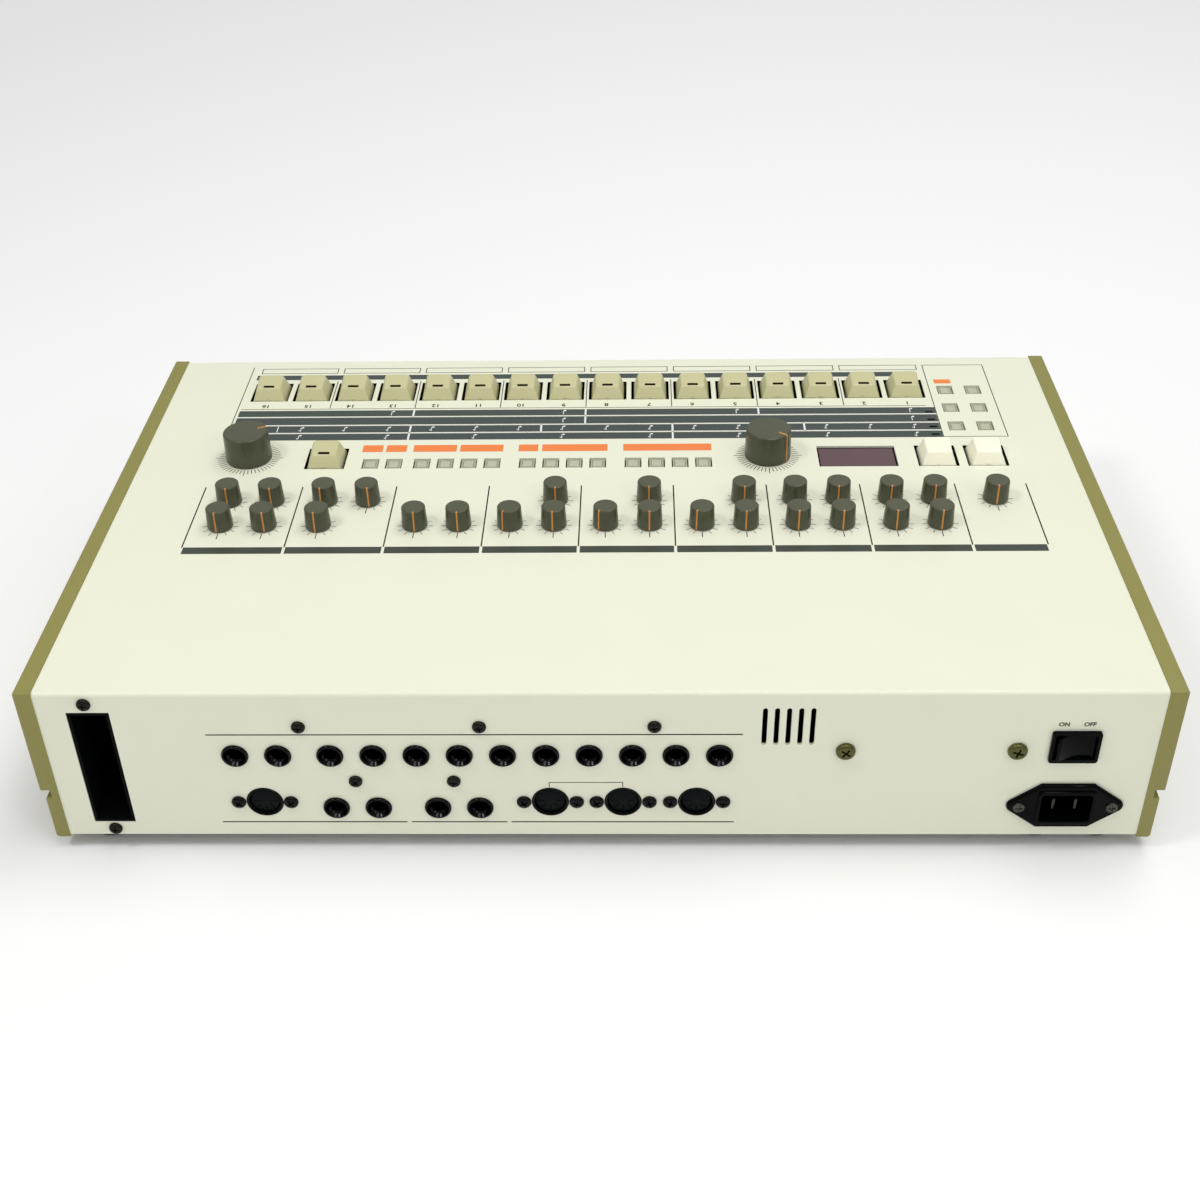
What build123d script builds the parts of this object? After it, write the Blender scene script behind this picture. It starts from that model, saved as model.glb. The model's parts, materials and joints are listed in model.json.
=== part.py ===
"""Drum machine: a folded steel case between two moulded end cheeks, with a panel of knobs and
keys on top and a row of sockets along the rear.

+Z is up, +X is the player's right and -Y is the player's side. The origin lies on the surface the
feet stand on, under the middle of the whole machine. All sizes are in millimetres.
"""
import os
from math import atan, cos, degrees, radians, sin
from build123d import *

os.makedirs("parts", exist_ok=True)

# ---------------------------------------------------------------- case, cheeks and feet
overall_width = 488.0       # over both cheeks
overall_depth = 300.0       # from the front face to the rim of the mains inlet
rear_reach = 3.0            # how far the mains inlet stands out of the rear panel
foot_height = 8.5
case_height = 80.5          # from the case's bottom edge to the panel's top face
sheet = 1.5                 # steel of the case and its bottom cover
bend_radius = 1.8           # outside radius of the folds along the front and rear
cheek_thickness = 7.8
cheek_proud = 0.5           # the cheeks stand this far above and behind the steel
cheek_drop = 1.2            # and this far below its bottom edge
fit_gap = 0.2               # between a cover or lens and the opening it sits in
cover_flange = 9.0          # height of the bottom cover's upturned edges
cover_notch = 22.0          # from each end flange's ends to the cover's front and rear

case_depth = overall_depth - rear_reach
case_half = overall_width / 2 - cheek_thickness
front_y = -overall_depth / 2
rear_y = front_y + case_depth
case_mid_y = (front_y + rear_y) / 2
case_bottom = foot_height
panel_z = foot_height + case_height
under_panel = panel_z - sheet
inside_rear = rear_y - sheet
cover_top = case_bottom + sheet

# Sketches on these planes read as (x, y) and as (x, z). Extruding a positive amount goes up out of
# the panel, and in through the rear panel.
panel_face = Plane.XY.offset(panel_z)
rear_face = Plane.XZ.offset(-rear_y)

# Round forms that repeat many times are polygons, so that the model stays light: this many sides on
# the large knobs, on what else shows, on bores, and on what a collar or a knob hides.
dial_sides = 24
shown_sides = 16
bore_sides = 12
hidden_sides = 6

# ---------------------------------------------------------------- keys with a lamp slit
key_width = 17.6
key_length = 19.4
key_gap = 0.8               # from a key to each side of its slot
key_end_gap = 0.4
key_crest = 6.2             # height of the edge nearest the rear
key_top = 8.0               # height of the edge nearest the player
key_crest_width = 12.4
key_rear_slope = 3.0        # plan length of the sloping rear face
key_front_slope = 4.4
key_skirt = 4.5             # depth of the key below the panel face
key_edge = 0.4
lamp_slit_length = 5.4
lamp_slit_width = 1.1
lamp_slit_depth = 0.8
lamp_slit_back = 1.6        # from the crest to the middle of the slit
key_travel = 3.5            # as far as the stem's hole in its switch lets the key down

step_count = 16
step_pitch = 22.97
steps_per_group = 4
step_mid_x = 10.05          # middle of the row of step keys
step_y = -113.0
transport_y = -42.4
start_x = -193.8
stop_x = -169.0
enter_x = 141.3

# ---------------------------------------------------------------- small lamp buttons
button_width = 7.4
button_length = 8.4
button_gap = 0.55
button_sunk = 0.4           # top of the cap below the panel face
button_cap_height = 4.0
button_travel = 0.6         # likewise for a button
button_pitch = 11.9
button_row_y = -37.2
button_groups = ((112.3, 2), (74.2, 4), (20.5, 4), (-33.1, 4))   # (middle x, how many)
bank_x = -191.4
bank_y = -91.9
bank_pitch_x = 14.9
bank_pitch_y = 19.5

# ---------------------------------------------------------------- knobs and potentiometers
knob_base = 12.4            # diameter at the foot
knob_crown = 11.4           # diameter at the top
knob_height = 10.2
knob_gap = 1.0              # from the panel to the foot of a knob
knob_rim = 0.6
dial_base = 23.4            # the two large knobs
dial_crown = 22.6
dial_height = 15.0
dial_rim = 0.9
shaft_diameter = 6.0
shaft_clearance = 0.05      # on the radius, where a shaft turns in its bearing
shaft_hole_gap = 0.7        # on the radius, where it passes through the panel

voice_mid_x = (-150.7, -104.3, -58.6, -12.7, 33.0, 78.6, 125.0, 172.2)
voice_columns = 21.0        # from a voice's first column to its second
upper_row_y = 20.5
lower_row_y = -1.3
accent_x = -191.2
volume_x = 181.2
tempo_x = -83.6
dial_y = -43.4

# ---------------------------------------------------------------- display window
window_x = -128.9
window_y = -42.4
window_width = 39.7
window_length = 20.1
window_ledge = 2.2          # the lens's flange under the panel
window_flange = 1.0
window_sunk = 1.0           # top of the lens below the panel face

# ---------------------------------------------------------------- rear panel
jack_pitch = 18.5
output_jacks = 10
output_mid_x = 31.2
mix_mid_x = 146.1
upper_jack_z = 54.9
lower_jack_z = 24.7
sync_mid_x = 105.6
pedal_mid_x = 61.0
jack_bore = 6.5
jack_bush = 9.4
jack_collar = 11.7
jack_collar_height = 1.4
jack_bush_gap = 0.1
jack_body_width = 15.6
jack_body_height = 12.0
jack_body_depth = 24.0
jack_back_wall = 1.5

din_places_x = (146.0, 20.9, -10.8, -42.8)
din_z = 28.1
din_diameter = 15.6
din_gap = 0.2
din_groove_outer = 13.6
din_groove_inner = 11.0
din_groove_depth = 5.0
din_core_sunk = 0.8
din_key = (3.0, 2.4)        # the notch for the plug's key, at the top of the groove
din_flange_width = 29.0
din_flange_height = 17.6
din_flange = 1.2
din_depth = 14.0

inlet_from_end = 34.2       # from its middle to the case's -X end
inlet_z = 26.5
inlet_tip = 27.4            # half the flange, to its corners before they are rounded
inlet_shoulder = 11.4       # half of its straight top edge
inlet_half_height = 12.2
inlet_tip_radius = 3.5
inlet_flange = 2.0
inlet_bevel = 0.8
inlet_shroud = (25.0, 18.4)
inlet_opening = (22.0, 15.4)
inlet_corner = 1.6
inlet_body_lip = 0.6        # the body behind the panel is this much larger all round
inlet_body_gap = 0.4
inlet_depth = 22.0          # behind the panel's outer face
inlet_recess = 18.0         # from the rim to the floor of the recess
blade_spacing = 9.6
blade_thickness = 1.6
blade_height = 6.0
blade_sunk = 3.0            # blade tips below the rim
blade_tab = 7.0             # solder tab behind the body
blade_clearance = 0.04

switch_from_end = 34.8      # likewise
switch_z = 59.8
switch_frame = (20.8, 16.8)
switch_frame_proud = 1.5
switch_frame_corner = 1.4
switch_opening = (17.8, 13.2)
switch_body = (20.0, 16.0)
switch_depth = 20.0
switch_well = 12.4          # from the frame's face to the floor of the well
rocker_gap = 0.3
rocker_pivot_sunk = 3.2     # pivot behind the frame's face
rocker_rise = 3.4           # the ends of the rocker's face ahead of the pivot
rocker_dish = 26.0          # radius of the hollow in the rocker's face
rocker_hollow = 1.2         # and its depth
rocker_tilt = 9.0           # degrees from level, pressed on the OFF side
rocker_pin = 2.4
rocker_pin_clearance = 0.06
rocker_pin_length = 1.0

slot_from_end = 21.8        # from its middle to the case's +X end
slot_z = 47.4
slot_size = (18.3, 62.7)    # cartridge opening in the rear panel
slot_wall = 1.4
slot_depth = 46.0
slot_flange = 28.0          # width of the flange behind the panel
slot_flange_thickness = 1.6
slot_flange_gap = 1.0       # from the flange's ends to the cover and the top
edge_connector = (7.0, 52.0)
edge_connector_depth = 9.0
edge_connector_slit = 1.8

vent_count = 5
vent_pitch = 5.03
vent_mid_x = -80.6
vent_z = 70.6
vent_length = 20.2
vent_width = 2.2
vent_corner = 0.7

# Hexagonal spacers carry the jack board, and a heat sink is bolted on at two places.
spacer_places = ((126.1, 71.0), (49.5, 71.0), (-24.3, 71.0), (104.9, 40.3), (62.3, 40.3))
bracket_from_end = (58.5, 130.9)    # from each bolt of the heat sink to the case's -X end
bracket_z = 58.6
foot_bore = 3.2             # for the screw that holds each foot

# ---------------------------------------------------------------- boards and inner parts
board = 1.6
panel_board_top = 71.5
panel_board_left = 20.2     # from its edge to the case's -X end
panel_board_right = 35.2    # to the +X end
panel_board_front = 22.0    # to the front face
panel_board_rear = 117.0    # to the rear face
stud = 6.0
stud_edge = 6.0             # from a stud's middle to the end of the panel board
stud_offset = 23.4          # from the start key's line to the line of the studs at the ends
inner_studs = (
    (-150.0, -78.0), (-60.0, -78.0), (60.0, -78.0), (188.0, -78.0), (-58.0, -19.0), (48.0, -19.0)
)
key_switch = 12.4
stem = 4.0
stem_gap = 0.1
stem_engaged = 4.0          # length of stem inside its switch with the key up
stem_end_gap = 0.5          # left below the stem with the key right down
switch_floor = 0.5
button_switch = 6.2
button_stem = 3.0
button_stem_engaged = 1.8
pot_body = (9.8, 11.0)
pot_height = 6.0
dial_pot_body = (16.0, 16.0)
dial_pot_height = 8.0
pot_floor = 1.0
shaft_end_gap = 0.4
display_body = (36.0, 15.0)
display_gap = 1.0           # from the display to the lens

main_board_size = (300.0, 180.0)
main_board_mid = (40.0, -40.0)
board_stand = 8.0           # length of the studs under the lower boards
chip = (14.0, 36.0, 4.0)
chip_columns = 4
chip_rows = 2
chip_pitch = (62.0, 66.0)
power_board_size = (74.0, 60.0)
power_board_from_end = 124.2    # from its middle to the case's -X end
power_board_y = 88.0
capacitor = (22.0, 34.0)
heat_sink_height = 34.0
heat_sink_ledge = 22.0
heat_sink_plate = 2.0
heat_sink_margin = 7.0      # from its bolts to its edges
transformer_core = (58.0, 46.0, 44.0)
transformer_coil = (40.0, 62.0, 30.0)
transformer_from_end = 46.2     # from its middle to the case's -X end
transformer_y = 70.0
transformer_bracket = 2.0
spacer_across = 7.0
jack_board_edge = 5.0

foot_base = 9.0
foot_crown = 10.0
foot_from_end = 14.2        # from a foot's middle to the end of the case
fifth_foot_from_end = 41.6  # and from that of the extra foot behind the transformer
foot_from_front = 24.0
foot_from_rear = 17.2
foot_counterbore = 4.0
foot_floor = 3.0            # rubber left above the screw head

cheek_lower_inset = 1.7     # the lower band stands in from the upper one
cheek_groove_low = 30.3     # bottom and top of the groove between the two bands
cheek_groove_high = 35.0
cheek_groove_root = 4.4     # the groove's depth from the cheek's outer face
cheek_edge = 1.0
cheek_wall = 2.4
cheek_bays = 3
cheek_rib = 3.0


# ---------------------------------------------------------------- places worked out from the sizes
def row_of(count, pitch, middle):
    """Positions along a line, evenly spaced about its middle."""
    return [middle + pitch * (i - (count - 1) / 2) for i in range(count)]


step_x = row_of(step_count, step_pitch, step_mid_x)
key_places = [(x, step_y) for x in step_x]
transport_places = [(x, transport_y) for x in (start_x, stop_x, enter_x)]
button_places = [
    (x, button_row_y)
    for middle, count in button_groups
    for x in row_of(count, button_pitch, middle)
]
bank_places = [
    (x, y) for x in row_of(2, bank_pitch_x, bank_x) for y in row_of(3, bank_pitch_y, bank_y)
]
voice_x = [middle - voice_columns / 2 for middle in voice_mid_x]
second_x = [middle + voice_columns / 2 for middle in voice_mid_x]
knob_places = {"accent_knob": (accent_x, lower_row_y)}
# Each voice has a tuning and a level knob in the upper row. The rim shot and clap share the sixth
# place, with one level knob each.
upper_names = {
    0: ("bass_tune_knob", "bass_level_knob"),
    1: ("snare_tune_knob", "snare_level_knob"),
    2: ("low_tom_tune_knob", "low_tom_level_knob"),
    3: ("mid_tom_tune_knob", "mid_tom_level_knob"),
    4: ("high_tom_tune_knob", "high_tom_level_knob"),
    5: ("rim_level_knob", "clap_level_knob"),
    6: (None, "hi_hat_level_knob"),
    7: ("crash_level_knob", "ride_level_knob"),
}
lower_names = {
    0: ("bass_attack_knob", "bass_decay_knob"),
    1: ("snare_tone_knob", "snare_snappy_knob"),
    2: ("low_tom_decay_knob", None),
    3: ("mid_tom_decay_knob", None),
    4: ("high_tom_decay_knob", None),
    6: ("closed_hat_decay_knob", "open_hat_decay_knob"),
    7: ("crash_tune_knob", "ride_tune_knob"),
}
for names, y in ((upper_names, upper_row_y), (lower_names, lower_row_y)):
    for voice, pair in names.items():
        for name, x in zip(pair, (voice_x[voice], second_x[voice])):
            if name:
                knob_places[name] = (x, y)
dial_places = {"volume_knob": (volume_x, dial_y), "tempo_knob": (tempo_x, dial_y)}

upper_jacks = [
    (x, upper_jack_z)
    for x in row_of(output_jacks, jack_pitch, output_mid_x) + row_of(2, jack_pitch, mix_mid_x)
]
lower_jacks = [
    (x, lower_jack_z)
    for x in row_of(2, jack_pitch, sync_mid_x) + row_of(2, jack_pitch, pedal_mid_x)
]
jack_places = upper_jacks + lower_jacks
din_places = [(x, din_z) for x in din_places_x]
inlet_x = -case_half + inlet_from_end
switch_x = -case_half + switch_from_end
slot_x = case_half - slot_from_end
blade_places = [(x, inlet_z) for x in row_of(2, blade_spacing, inlet_x)]
foot_places = [
    (side * (case_half - foot_from_end), y)
    for side in (-1, 1)
    for y in (front_y + foot_from_front, rear_y - foot_from_rear)
]
foot_places.append((-case_half + fifth_foot_from_end, rear_y - foot_from_rear))
transformer_mid = (-case_half + transformer_from_end, transformer_y)
power_board_mid = (-case_half + power_board_from_end, power_board_y)
bracket_places = [(-case_half + from_end, bracket_z) for from_end in bracket_from_end]
board_left = -case_half + panel_board_left
board_right = case_half - panel_board_right
board_front = front_y + panel_board_front
board_rear = rear_y - panel_board_rear
stud_places = list(inner_studs) + [
    (board_left + stud_edge, transport_y + stud_offset),
    (board_right - stud_edge, transport_y + stud_offset),
]

key_slot = (key_width + 2 * key_gap, key_length + 2 * key_end_gap)
button_hole = (button_width + 2 * button_gap, button_length + 2 * button_gap)
key_switch_height = switch_floor + stem_end_gap + key_travel + stem_engaged
button_switch_height = switch_floor + stem_end_gap + button_travel + button_stem_engaged
jack_hole = jack_bush / 2 + jack_bush_gap
shaft_hole = shaft_diameter / 2 + shaft_hole_gap
inlet_body = [size + 2 * inlet_body_lip for size in inlet_shroud]
inlet_cutout = [size + 2 * inlet_body_gap for size in inlet_body]
switch_cutout = [size + 2 * fit_gap for size in switch_body]


def finish(node, name):
    """Label a finished sub-part and write its STEP file."""
    node.part.label = name
    export_step(node.part, f"parts/{name}.step")


# ---------------------------------------------------------------- the folded top case
# One sheet makes the top, the front and the rear, and its ends are closed by welded plates.
with BuildPart() as top_case:
    with Locations((0, case_mid_y, case_bottom)):
        Box(2 * case_half, case_depth, case_height, align=(Align.CENTER, Align.CENTER, Align.MIN))
    fillet(top_case.edges().filter_by(Axis.X).group_by(Axis.Z)[-1], bend_radius)
    offset(amount=-sheet, openings=top_case.faces().sort_by(Axis.Z)[0])
    with BuildSketch(panel_face):
        with Locations(key_places + transport_places):
            Rectangle(*key_slot)
        with Locations(button_places + bank_places):
            Rectangle(*button_hole)
        with Locations(list(knob_places.values()) + list(dial_places.values())):
            RegularPolygon(shaft_hole, hidden_sides, major_radius=False)
        with Locations((window_x, window_y)):
            Rectangle(window_width, window_length)
    extrude(amount=-2 * sheet, mode=Mode.SUBTRACT)
    with BuildSketch(rear_face):
        with Locations(jack_places):
            RegularPolygon(jack_hole, hidden_sides, major_radius=False)
        with Locations(din_places):
            RegularPolygon(din_diameter / 2 + din_gap, shown_sides, major_radius=False)
        with Locations((inlet_x, inlet_z)):
            Rectangle(*inlet_cutout)
        with Locations((switch_x, switch_z)):
            Rectangle(*switch_cutout)
        with Locations((slot_x, slot_z)):
            Rectangle(*slot_size)
    extrude(amount=2 * sheet, mode=Mode.SUBTRACT)
    with BuildSketch(rear_face) as vents:
        with Locations([(x, vent_z) for x in row_of(vent_count, vent_pitch, vent_mid_x)]):
            Rectangle(vent_width, vent_length)
        chamfer(vents.vertices(), vent_corner)
    extrude(amount=2 * sheet, mode=Mode.SUBTRACT)
    # Welded studs under the panel carry the panel board.
    with BuildSketch(Plane.XY.offset(panel_board_top)):
        with Locations(stud_places):
            RegularPolygon(stud / 2, hidden_sides)
    extrude(amount=under_panel - panel_board_top)
finish(top_case, "top_case")

# ---------------------------------------------------------------- the bottom cover
# A tray whose upturned front and end flanges fit just inside the case.
cover_half = case_half - sheet - fit_gap
cover_front = front_y + sheet + fit_gap
cover_rear = rear_y - sheet - fit_gap
main_studs = [
    (main_board_mid[0] + sx * (main_board_size[0] / 2 - stud),
     main_board_mid[1] + sy * (main_board_size[1] / 2 - stud))
    for sx in (-1, 1) for sy in (-1, 1)
]
power_studs = [
    (power_board_mid[0] + sx * (power_board_size[0] / 2 - stud),
     power_board_mid[1] + sy * (power_board_size[1] / 2 - stud))
    for sx in (-1, 1) for sy in (-1, 1)
]
with BuildPart() as bottom_cover:
    with BuildSketch(Plane.XY.offset(case_bottom)):
        with Locations((0, (cover_front + cover_rear) / 2)):
            Rectangle(2 * cover_half, cover_rear - cover_front)
    extrude(amount=sheet)
    with BuildSketch(Plane.XY.offset(cover_top)):
        with Locations((0, cover_front + sheet / 2)):
            Rectangle(2 * cover_half, sheet)
        with Locations((-cover_half + sheet / 2, 0), (cover_half - sheet / 2, 0)):
            Rectangle(sheet, cover_rear - cover_front - 2 * cover_notch)
    extrude(amount=cover_flange - sheet)
    with BuildSketch(Plane.XY.offset(cover_top)):
        with Locations(main_studs + power_studs):
            RegularPolygon(stud / 2, hidden_sides)
    extrude(amount=board_stand)
    with BuildSketch(Plane.XY.offset(case_bottom)):
        with Locations(foot_places):
            RegularPolygon(foot_bore / 2, hidden_sides)
    extrude(amount=sheet, mode=Mode.SUBTRACT)
finish(bottom_cover, "bottom_cover")


# ---------------------------------------------------------------- the moulded end cheeks
def end_cheek(name, side):
    """An upper band, a groove and a set-in lower band, with ribbed hollows on the case's side."""
    top = panel_z + cheek_proud
    bottom = case_bottom - cheek_drop
    outer = side * overall_width / 2
    lower = outer - side * cheek_lower_inset
    root = outer - side * cheek_groove_root
    seam = side * case_half
    rear = rear_y + cheek_proud
    with BuildPart() as cheek:
        with BuildSketch(Plane.XZ.offset(-rear)):
            with BuildLine():
                Polyline(
                    (seam, bottom),
                    (lower - side * cheek_edge, bottom),
                    (lower, bottom + cheek_edge),
                    (lower, cheek_groove_low),
                    (root, cheek_groove_low),
                    (root, cheek_groove_high),
                    (outer, cheek_groove_high),
                    (outer, top),
                    (seam, top),
                    close=True,
                )
            make_face()
        extrude(amount=rear - front_y)
        upper_edge = cheek.edges().filter_by(Axis.Y).group_by(Axis.Z)[-1]
        fillet(upper_edge.sort_by(Axis.X)[-1 if side > 0 else 0], cheek_edge)
        ends = cheek.edges().filter_by(Axis.Z).group_by(Axis.X)[-1 if side > 0 else 0]
        chamfer(ends, cheek_edge / 2)
        bay = (rear - front_y - (cheek_bays + 1) * cheek_rib) / cheek_bays
        bays = row_of(cheek_bays, bay + cheek_rib, (front_y + rear) / 2)
        upper_bay = (cheek_groove_high + cheek_wall, panel_z - cheek_wall)
        lower_bay = (case_bottom + cheek_wall, cheek_groove_low - cheek_wall)
        for (low, high), face in ((upper_bay, outer), (lower_bay, lower)):
            with BuildSketch(Plane.YZ.offset(seam)):
                with Locations([(y, (low + high) / 2) for y in bays]):
                    Rectangle(bay, high - low)
            extrude(amount=face - side * cheek_wall - seam, mode=Mode.SUBTRACT)
    finish(cheek, name)


end_cheek("left_end_cheek", -1)
end_cheek("right_end_cheek", 1)

# ---------------------------------------------------------------- the rubber feet
foot_taper = degrees(atan((foot_base - foot_crown) / foot_height))
with BuildPart() as rubber_feet:
    with BuildSketch(Plane.XY):
        with Locations(foot_places):
            RegularPolygon(foot_base, shown_sides)
    extrude(amount=foot_height, taper=foot_taper)
    with BuildSketch(Plane.XY):
        with Locations(foot_places):
            RegularPolygon(foot_counterbore, bore_sides)
    extrude(amount=foot_height - foot_floor, mode=Mode.SUBTRACT)
    with BuildSketch(Plane.XY):
        with Locations(foot_places):
            RegularPolygon(foot_bore / 2, hidden_sides)
    extrude(amount=foot_height, mode=Mode.SUBTRACT)
finish(rubber_feet, "rubber_feet")


# ---------------------------------------------------------------- keys
def key_form(with_slit):
    """One wedge-topped key about its own middle, with the panel face at z = 0."""
    rear = key_length / 2
    crest = rear - key_rear_slope
    far = -key_length / 2 + key_front_slope
    with BuildPart() as key:
        with BuildSketch(Plane.YZ):
            with BuildLine():
                Polyline(
                    (rear, -key_skirt), (rear, 0), (crest, key_crest), (far, key_top),
                    (-rear, 0), (-rear, -key_skirt), close=True,
                )
            make_face()
        extrude(amount=key_width / 2, both=True)
        with BuildSketch(Plane.XZ):
            with BuildLine():
                Polyline(
                    (-key_width / 2, -key_skirt), (key_width / 2, -key_skirt),
                    (key_width / 2, 0), (key_crest_width / 2, key_top),
                    (-key_crest_width / 2, key_top), (-key_width / 2, 0), close=True,
                )
            make_face()
        extrude(amount=key_length, both=True, mode=Mode.INTERSECT)
        crown = key.faces().filter_by(lambda face: face.normal_at().Z > 0.9)
        chamfer(crown.edges(), key_edge)
        if with_slit:
            slope = (key_top - key_crest) / (crest - far)
            with BuildSketch(Plane.XY.offset(key_crest + slope * lamp_slit_back - lamp_slit_depth)):
                with Locations((0, crest - lamp_slit_back)):
                    Rectangle(lamp_slit_length, lamp_slit_width)
            extrude(amount=key_top, mode=Mode.SUBTRACT)
        # The stem runs down into the switch under the panel.
        stem_bottom = panel_board_top + key_switch_height - stem_engaged - panel_z
        with BuildSketch(Plane.XY.offset(stem_bottom)):
            Rectangle(stem, stem)
        extrude(amount=-key_skirt - stem_bottom)
    return key.part


lamp_key = key_form(with_slit=True)
plain_key = key_form(with_slit=False)

for group in range(step_count // steps_per_group):
    first = group * steps_per_group
    with BuildPart() as step_keys:
        with Locations([(x, step_y, panel_z) for x in step_x[first:first + steps_per_group]]):
            add(lamp_key)
    finish(step_keys, f"step_keys_{first + 1}_to_{first + steps_per_group}")

for name, x, form in (
    ("start_key", start_x, plain_key),
    ("stop_key", stop_x, plain_key),
    ("enter_key", enter_x, lamp_key),
):
    with BuildPart() as single_key:
        with Locations((x, transport_y, panel_z)):
            add(form)
    finish(single_key, name)


# ---------------------------------------------------------------- small lamp buttons
def lamp_buttons(name, places):
    """Flat caps that sit just below the panel face, each on a stem into its switch."""
    cap_top = panel_z - button_sunk
    stem_bottom = panel_board_top + button_switch_height - button_stem_engaged
    with BuildPart() as buttons:
        with BuildSketch(Plane.XY.offset(cap_top - button_cap_height)):
            with Locations(places):
                Rectangle(button_width, button_length)
        extrude(amount=button_cap_height)
        with BuildSketch(Plane.XY.offset(stem_bottom)):
            with Locations(places):
                Rectangle(button_stem, button_stem)
        extrude(amount=cap_top - button_cap_height - stem_bottom)
    finish(buttons, name)


lamp_buttons("function_buttons", button_places)
lamp_buttons("bank_buttons", bank_places)


# ---------------------------------------------------------------- knobs
def rotary_knob(name, place, sides, base, crown, height, rim):
    """A tapered knob pressed on its shaft, which reaches down into its potentiometer."""
    foot = panel_z + knob_gap
    shaft_bottom = panel_board_top + pot_floor + shaft_end_gap
    with BuildPart() as knob:
        with BuildSketch(Plane.XY.offset(foot)):
            with Locations(place):
                RegularPolygon(base / 2, sides)
        extrude(amount=height - rim, taper=degrees(atan((base - crown) / 2 / (height - rim))))
        extrude(knob.faces().sort_by(Axis.Z)[-1], amount=rim, taper=45)
        with BuildSketch(Plane.XY.offset(shaft_bottom)):
            with Locations(place):
                RegularPolygon(shaft_diameter / 2, hidden_sides)
        extrude(amount=foot - shaft_bottom)
    finish(knob, name)


for name, place in knob_places.items():
    rotary_knob(name, place, shown_sides, knob_base, knob_crown, knob_height, knob_rim)
for name, place in dial_places.items():
    rotary_knob(name, place, dial_sides, dial_base, dial_crown, dial_height, dial_rim)

# ---------------------------------------------------------------- potentiometers
bearing = shaft_diameter / 2 + shaft_clearance
with BuildPart() as potentiometers:
    for places, size, height in (
        (knob_places, pot_body, pot_height),
        (dial_places, dial_pot_body, dial_pot_height),
    ):
        with BuildSketch(Plane.XY.offset(panel_board_top)):
            with Locations(list(places.values())):
                Rectangle(*size)
        extrude(amount=height)
        with BuildSketch(Plane.XY.offset(panel_board_top + pot_floor)):
            with Locations(list(places.values())):
                RegularPolygon(bearing, hidden_sides, major_radius=False)
        extrude(amount=height, mode=Mode.SUBTRACT)
finish(potentiometers, "potentiometers")

# ---------------------------------------------------------------- key and button switches
with BuildPart() as key_switches:
    for places, size, height, hole in (
        (key_places + transport_places, key_switch, key_switch_height, stem + 2 * stem_gap),
        (button_places + bank_places, button_switch, button_switch_height,
         button_stem + 2 * stem_gap),
    ):
        with BuildSketch(Plane.XY.offset(panel_board_top)):
            with Locations(places):
                Rectangle(size, size)
        extrude(amount=height)
        with BuildSketch(Plane.XY.offset(panel_board_top + switch_floor)):
            with Locations(places):
                Rectangle(hole, hole)
        extrude(amount=height, mode=Mode.SUBTRACT)
finish(key_switches, "key_switches")

# ---------------------------------------------------------------- display window and display
with BuildPart() as display_window:
    with BuildSketch(Plane.XY.offset(under_panel - window_flange)):
        with Locations((window_x, window_y)):
            Rectangle(window_width + 2 * window_ledge, window_length + 2 * window_ledge)
    extrude(amount=window_flange)
    with BuildSketch(Plane.XY.offset(under_panel)):
        with Locations((window_x, window_y)):
            Rectangle(window_width - 2 * fit_gap, window_length - 2 * fit_gap)
    extrude(amount=sheet - window_sunk)
finish(display_window, "display_window")

display_top = under_panel - window_flange - display_gap
with BuildPart() as display_module:
    with BuildSketch(Plane.XY.offset(panel_board_top)):
        with Locations((window_x, window_y)):
            Rectangle(*display_body)
    extrude(amount=display_top - panel_board_top)
finish(display_module, "display_module")

# ---------------------------------------------------------------- panel board
with BuildPart() as panel_board:
    with BuildSketch(Plane.XY.offset(panel_board_top - board)):
        with Locations(((board_left + board_right) / 2, (board_front + board_rear) / 2)):
            Rectangle(board_right - board_left, board_rear - board_front)
    extrude(amount=board)
finish(panel_board, "panel_board")

# ---------------------------------------------------------------- phone jacks
# Each jack is a body behind the panel with a bush through it, and a collar outside.
with BuildPart() as phone_jacks:
    with BuildSketch(Plane.XZ.offset(-inside_rear)):
        with Locations(jack_places):
            Rectangle(jack_body_width, jack_body_height)
    extrude(amount=jack_body_depth)
    with BuildSketch(Plane.XZ.offset(-inside_rear)):
        with Locations(jack_places):
            RegularPolygon(jack_bush / 2, hidden_sides)
    extrude(amount=-sheet)
    with BuildSketch(rear_face):
        with Locations(jack_places):
            RegularPolygon(jack_collar / 2, shown_sides)
    extrude(amount=-jack_collar_height, taper=20)
    with BuildSketch(Plane.XZ.offset(-rear_y - jack_collar_height)):
        with Locations(jack_places):
            RegularPolygon(jack_bore / 2, bore_sides, major_radius=False)
    extrude(amount=jack_collar_height + sheet + jack_body_depth - jack_back_wall,
            mode=Mode.SUBTRACT)
finish(phone_jacks, "phone_jacks")

# ---------------------------------------------------------------- five-pin DIN sockets
with BuildPart() as din_sockets:
    with BuildSketch(Plane.XZ.offset(-inside_rear)):
        with Locations(din_places):
            Rectangle(din_flange_width, din_flange_height)
    extrude(amount=din_flange)
    with BuildSketch(rear_face):
        with Locations(din_places):
            RegularPolygon(din_diameter / 2, shown_sides)
    extrude(amount=din_depth)
    with BuildSketch(rear_face):
        with Locations(din_places):
            RegularPolygon(din_groove_outer / 2, shown_sides)
            RegularPolygon(din_groove_inner / 2, shown_sides, mode=Mode.SUBTRACT)
    extrude(amount=din_groove_depth, mode=Mode.SUBTRACT)
    with BuildSketch(rear_face):
        with Locations(din_places):
            RegularPolygon(din_groove_inner / 2, shown_sides)
        with Locations([(x, z + din_groove_inner / 2) for x, z in din_places]):
            Rectangle(*din_key)
    extrude(amount=din_core_sunk, mode=Mode.SUBTRACT)
finish(din_sockets, "din_sockets")

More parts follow.
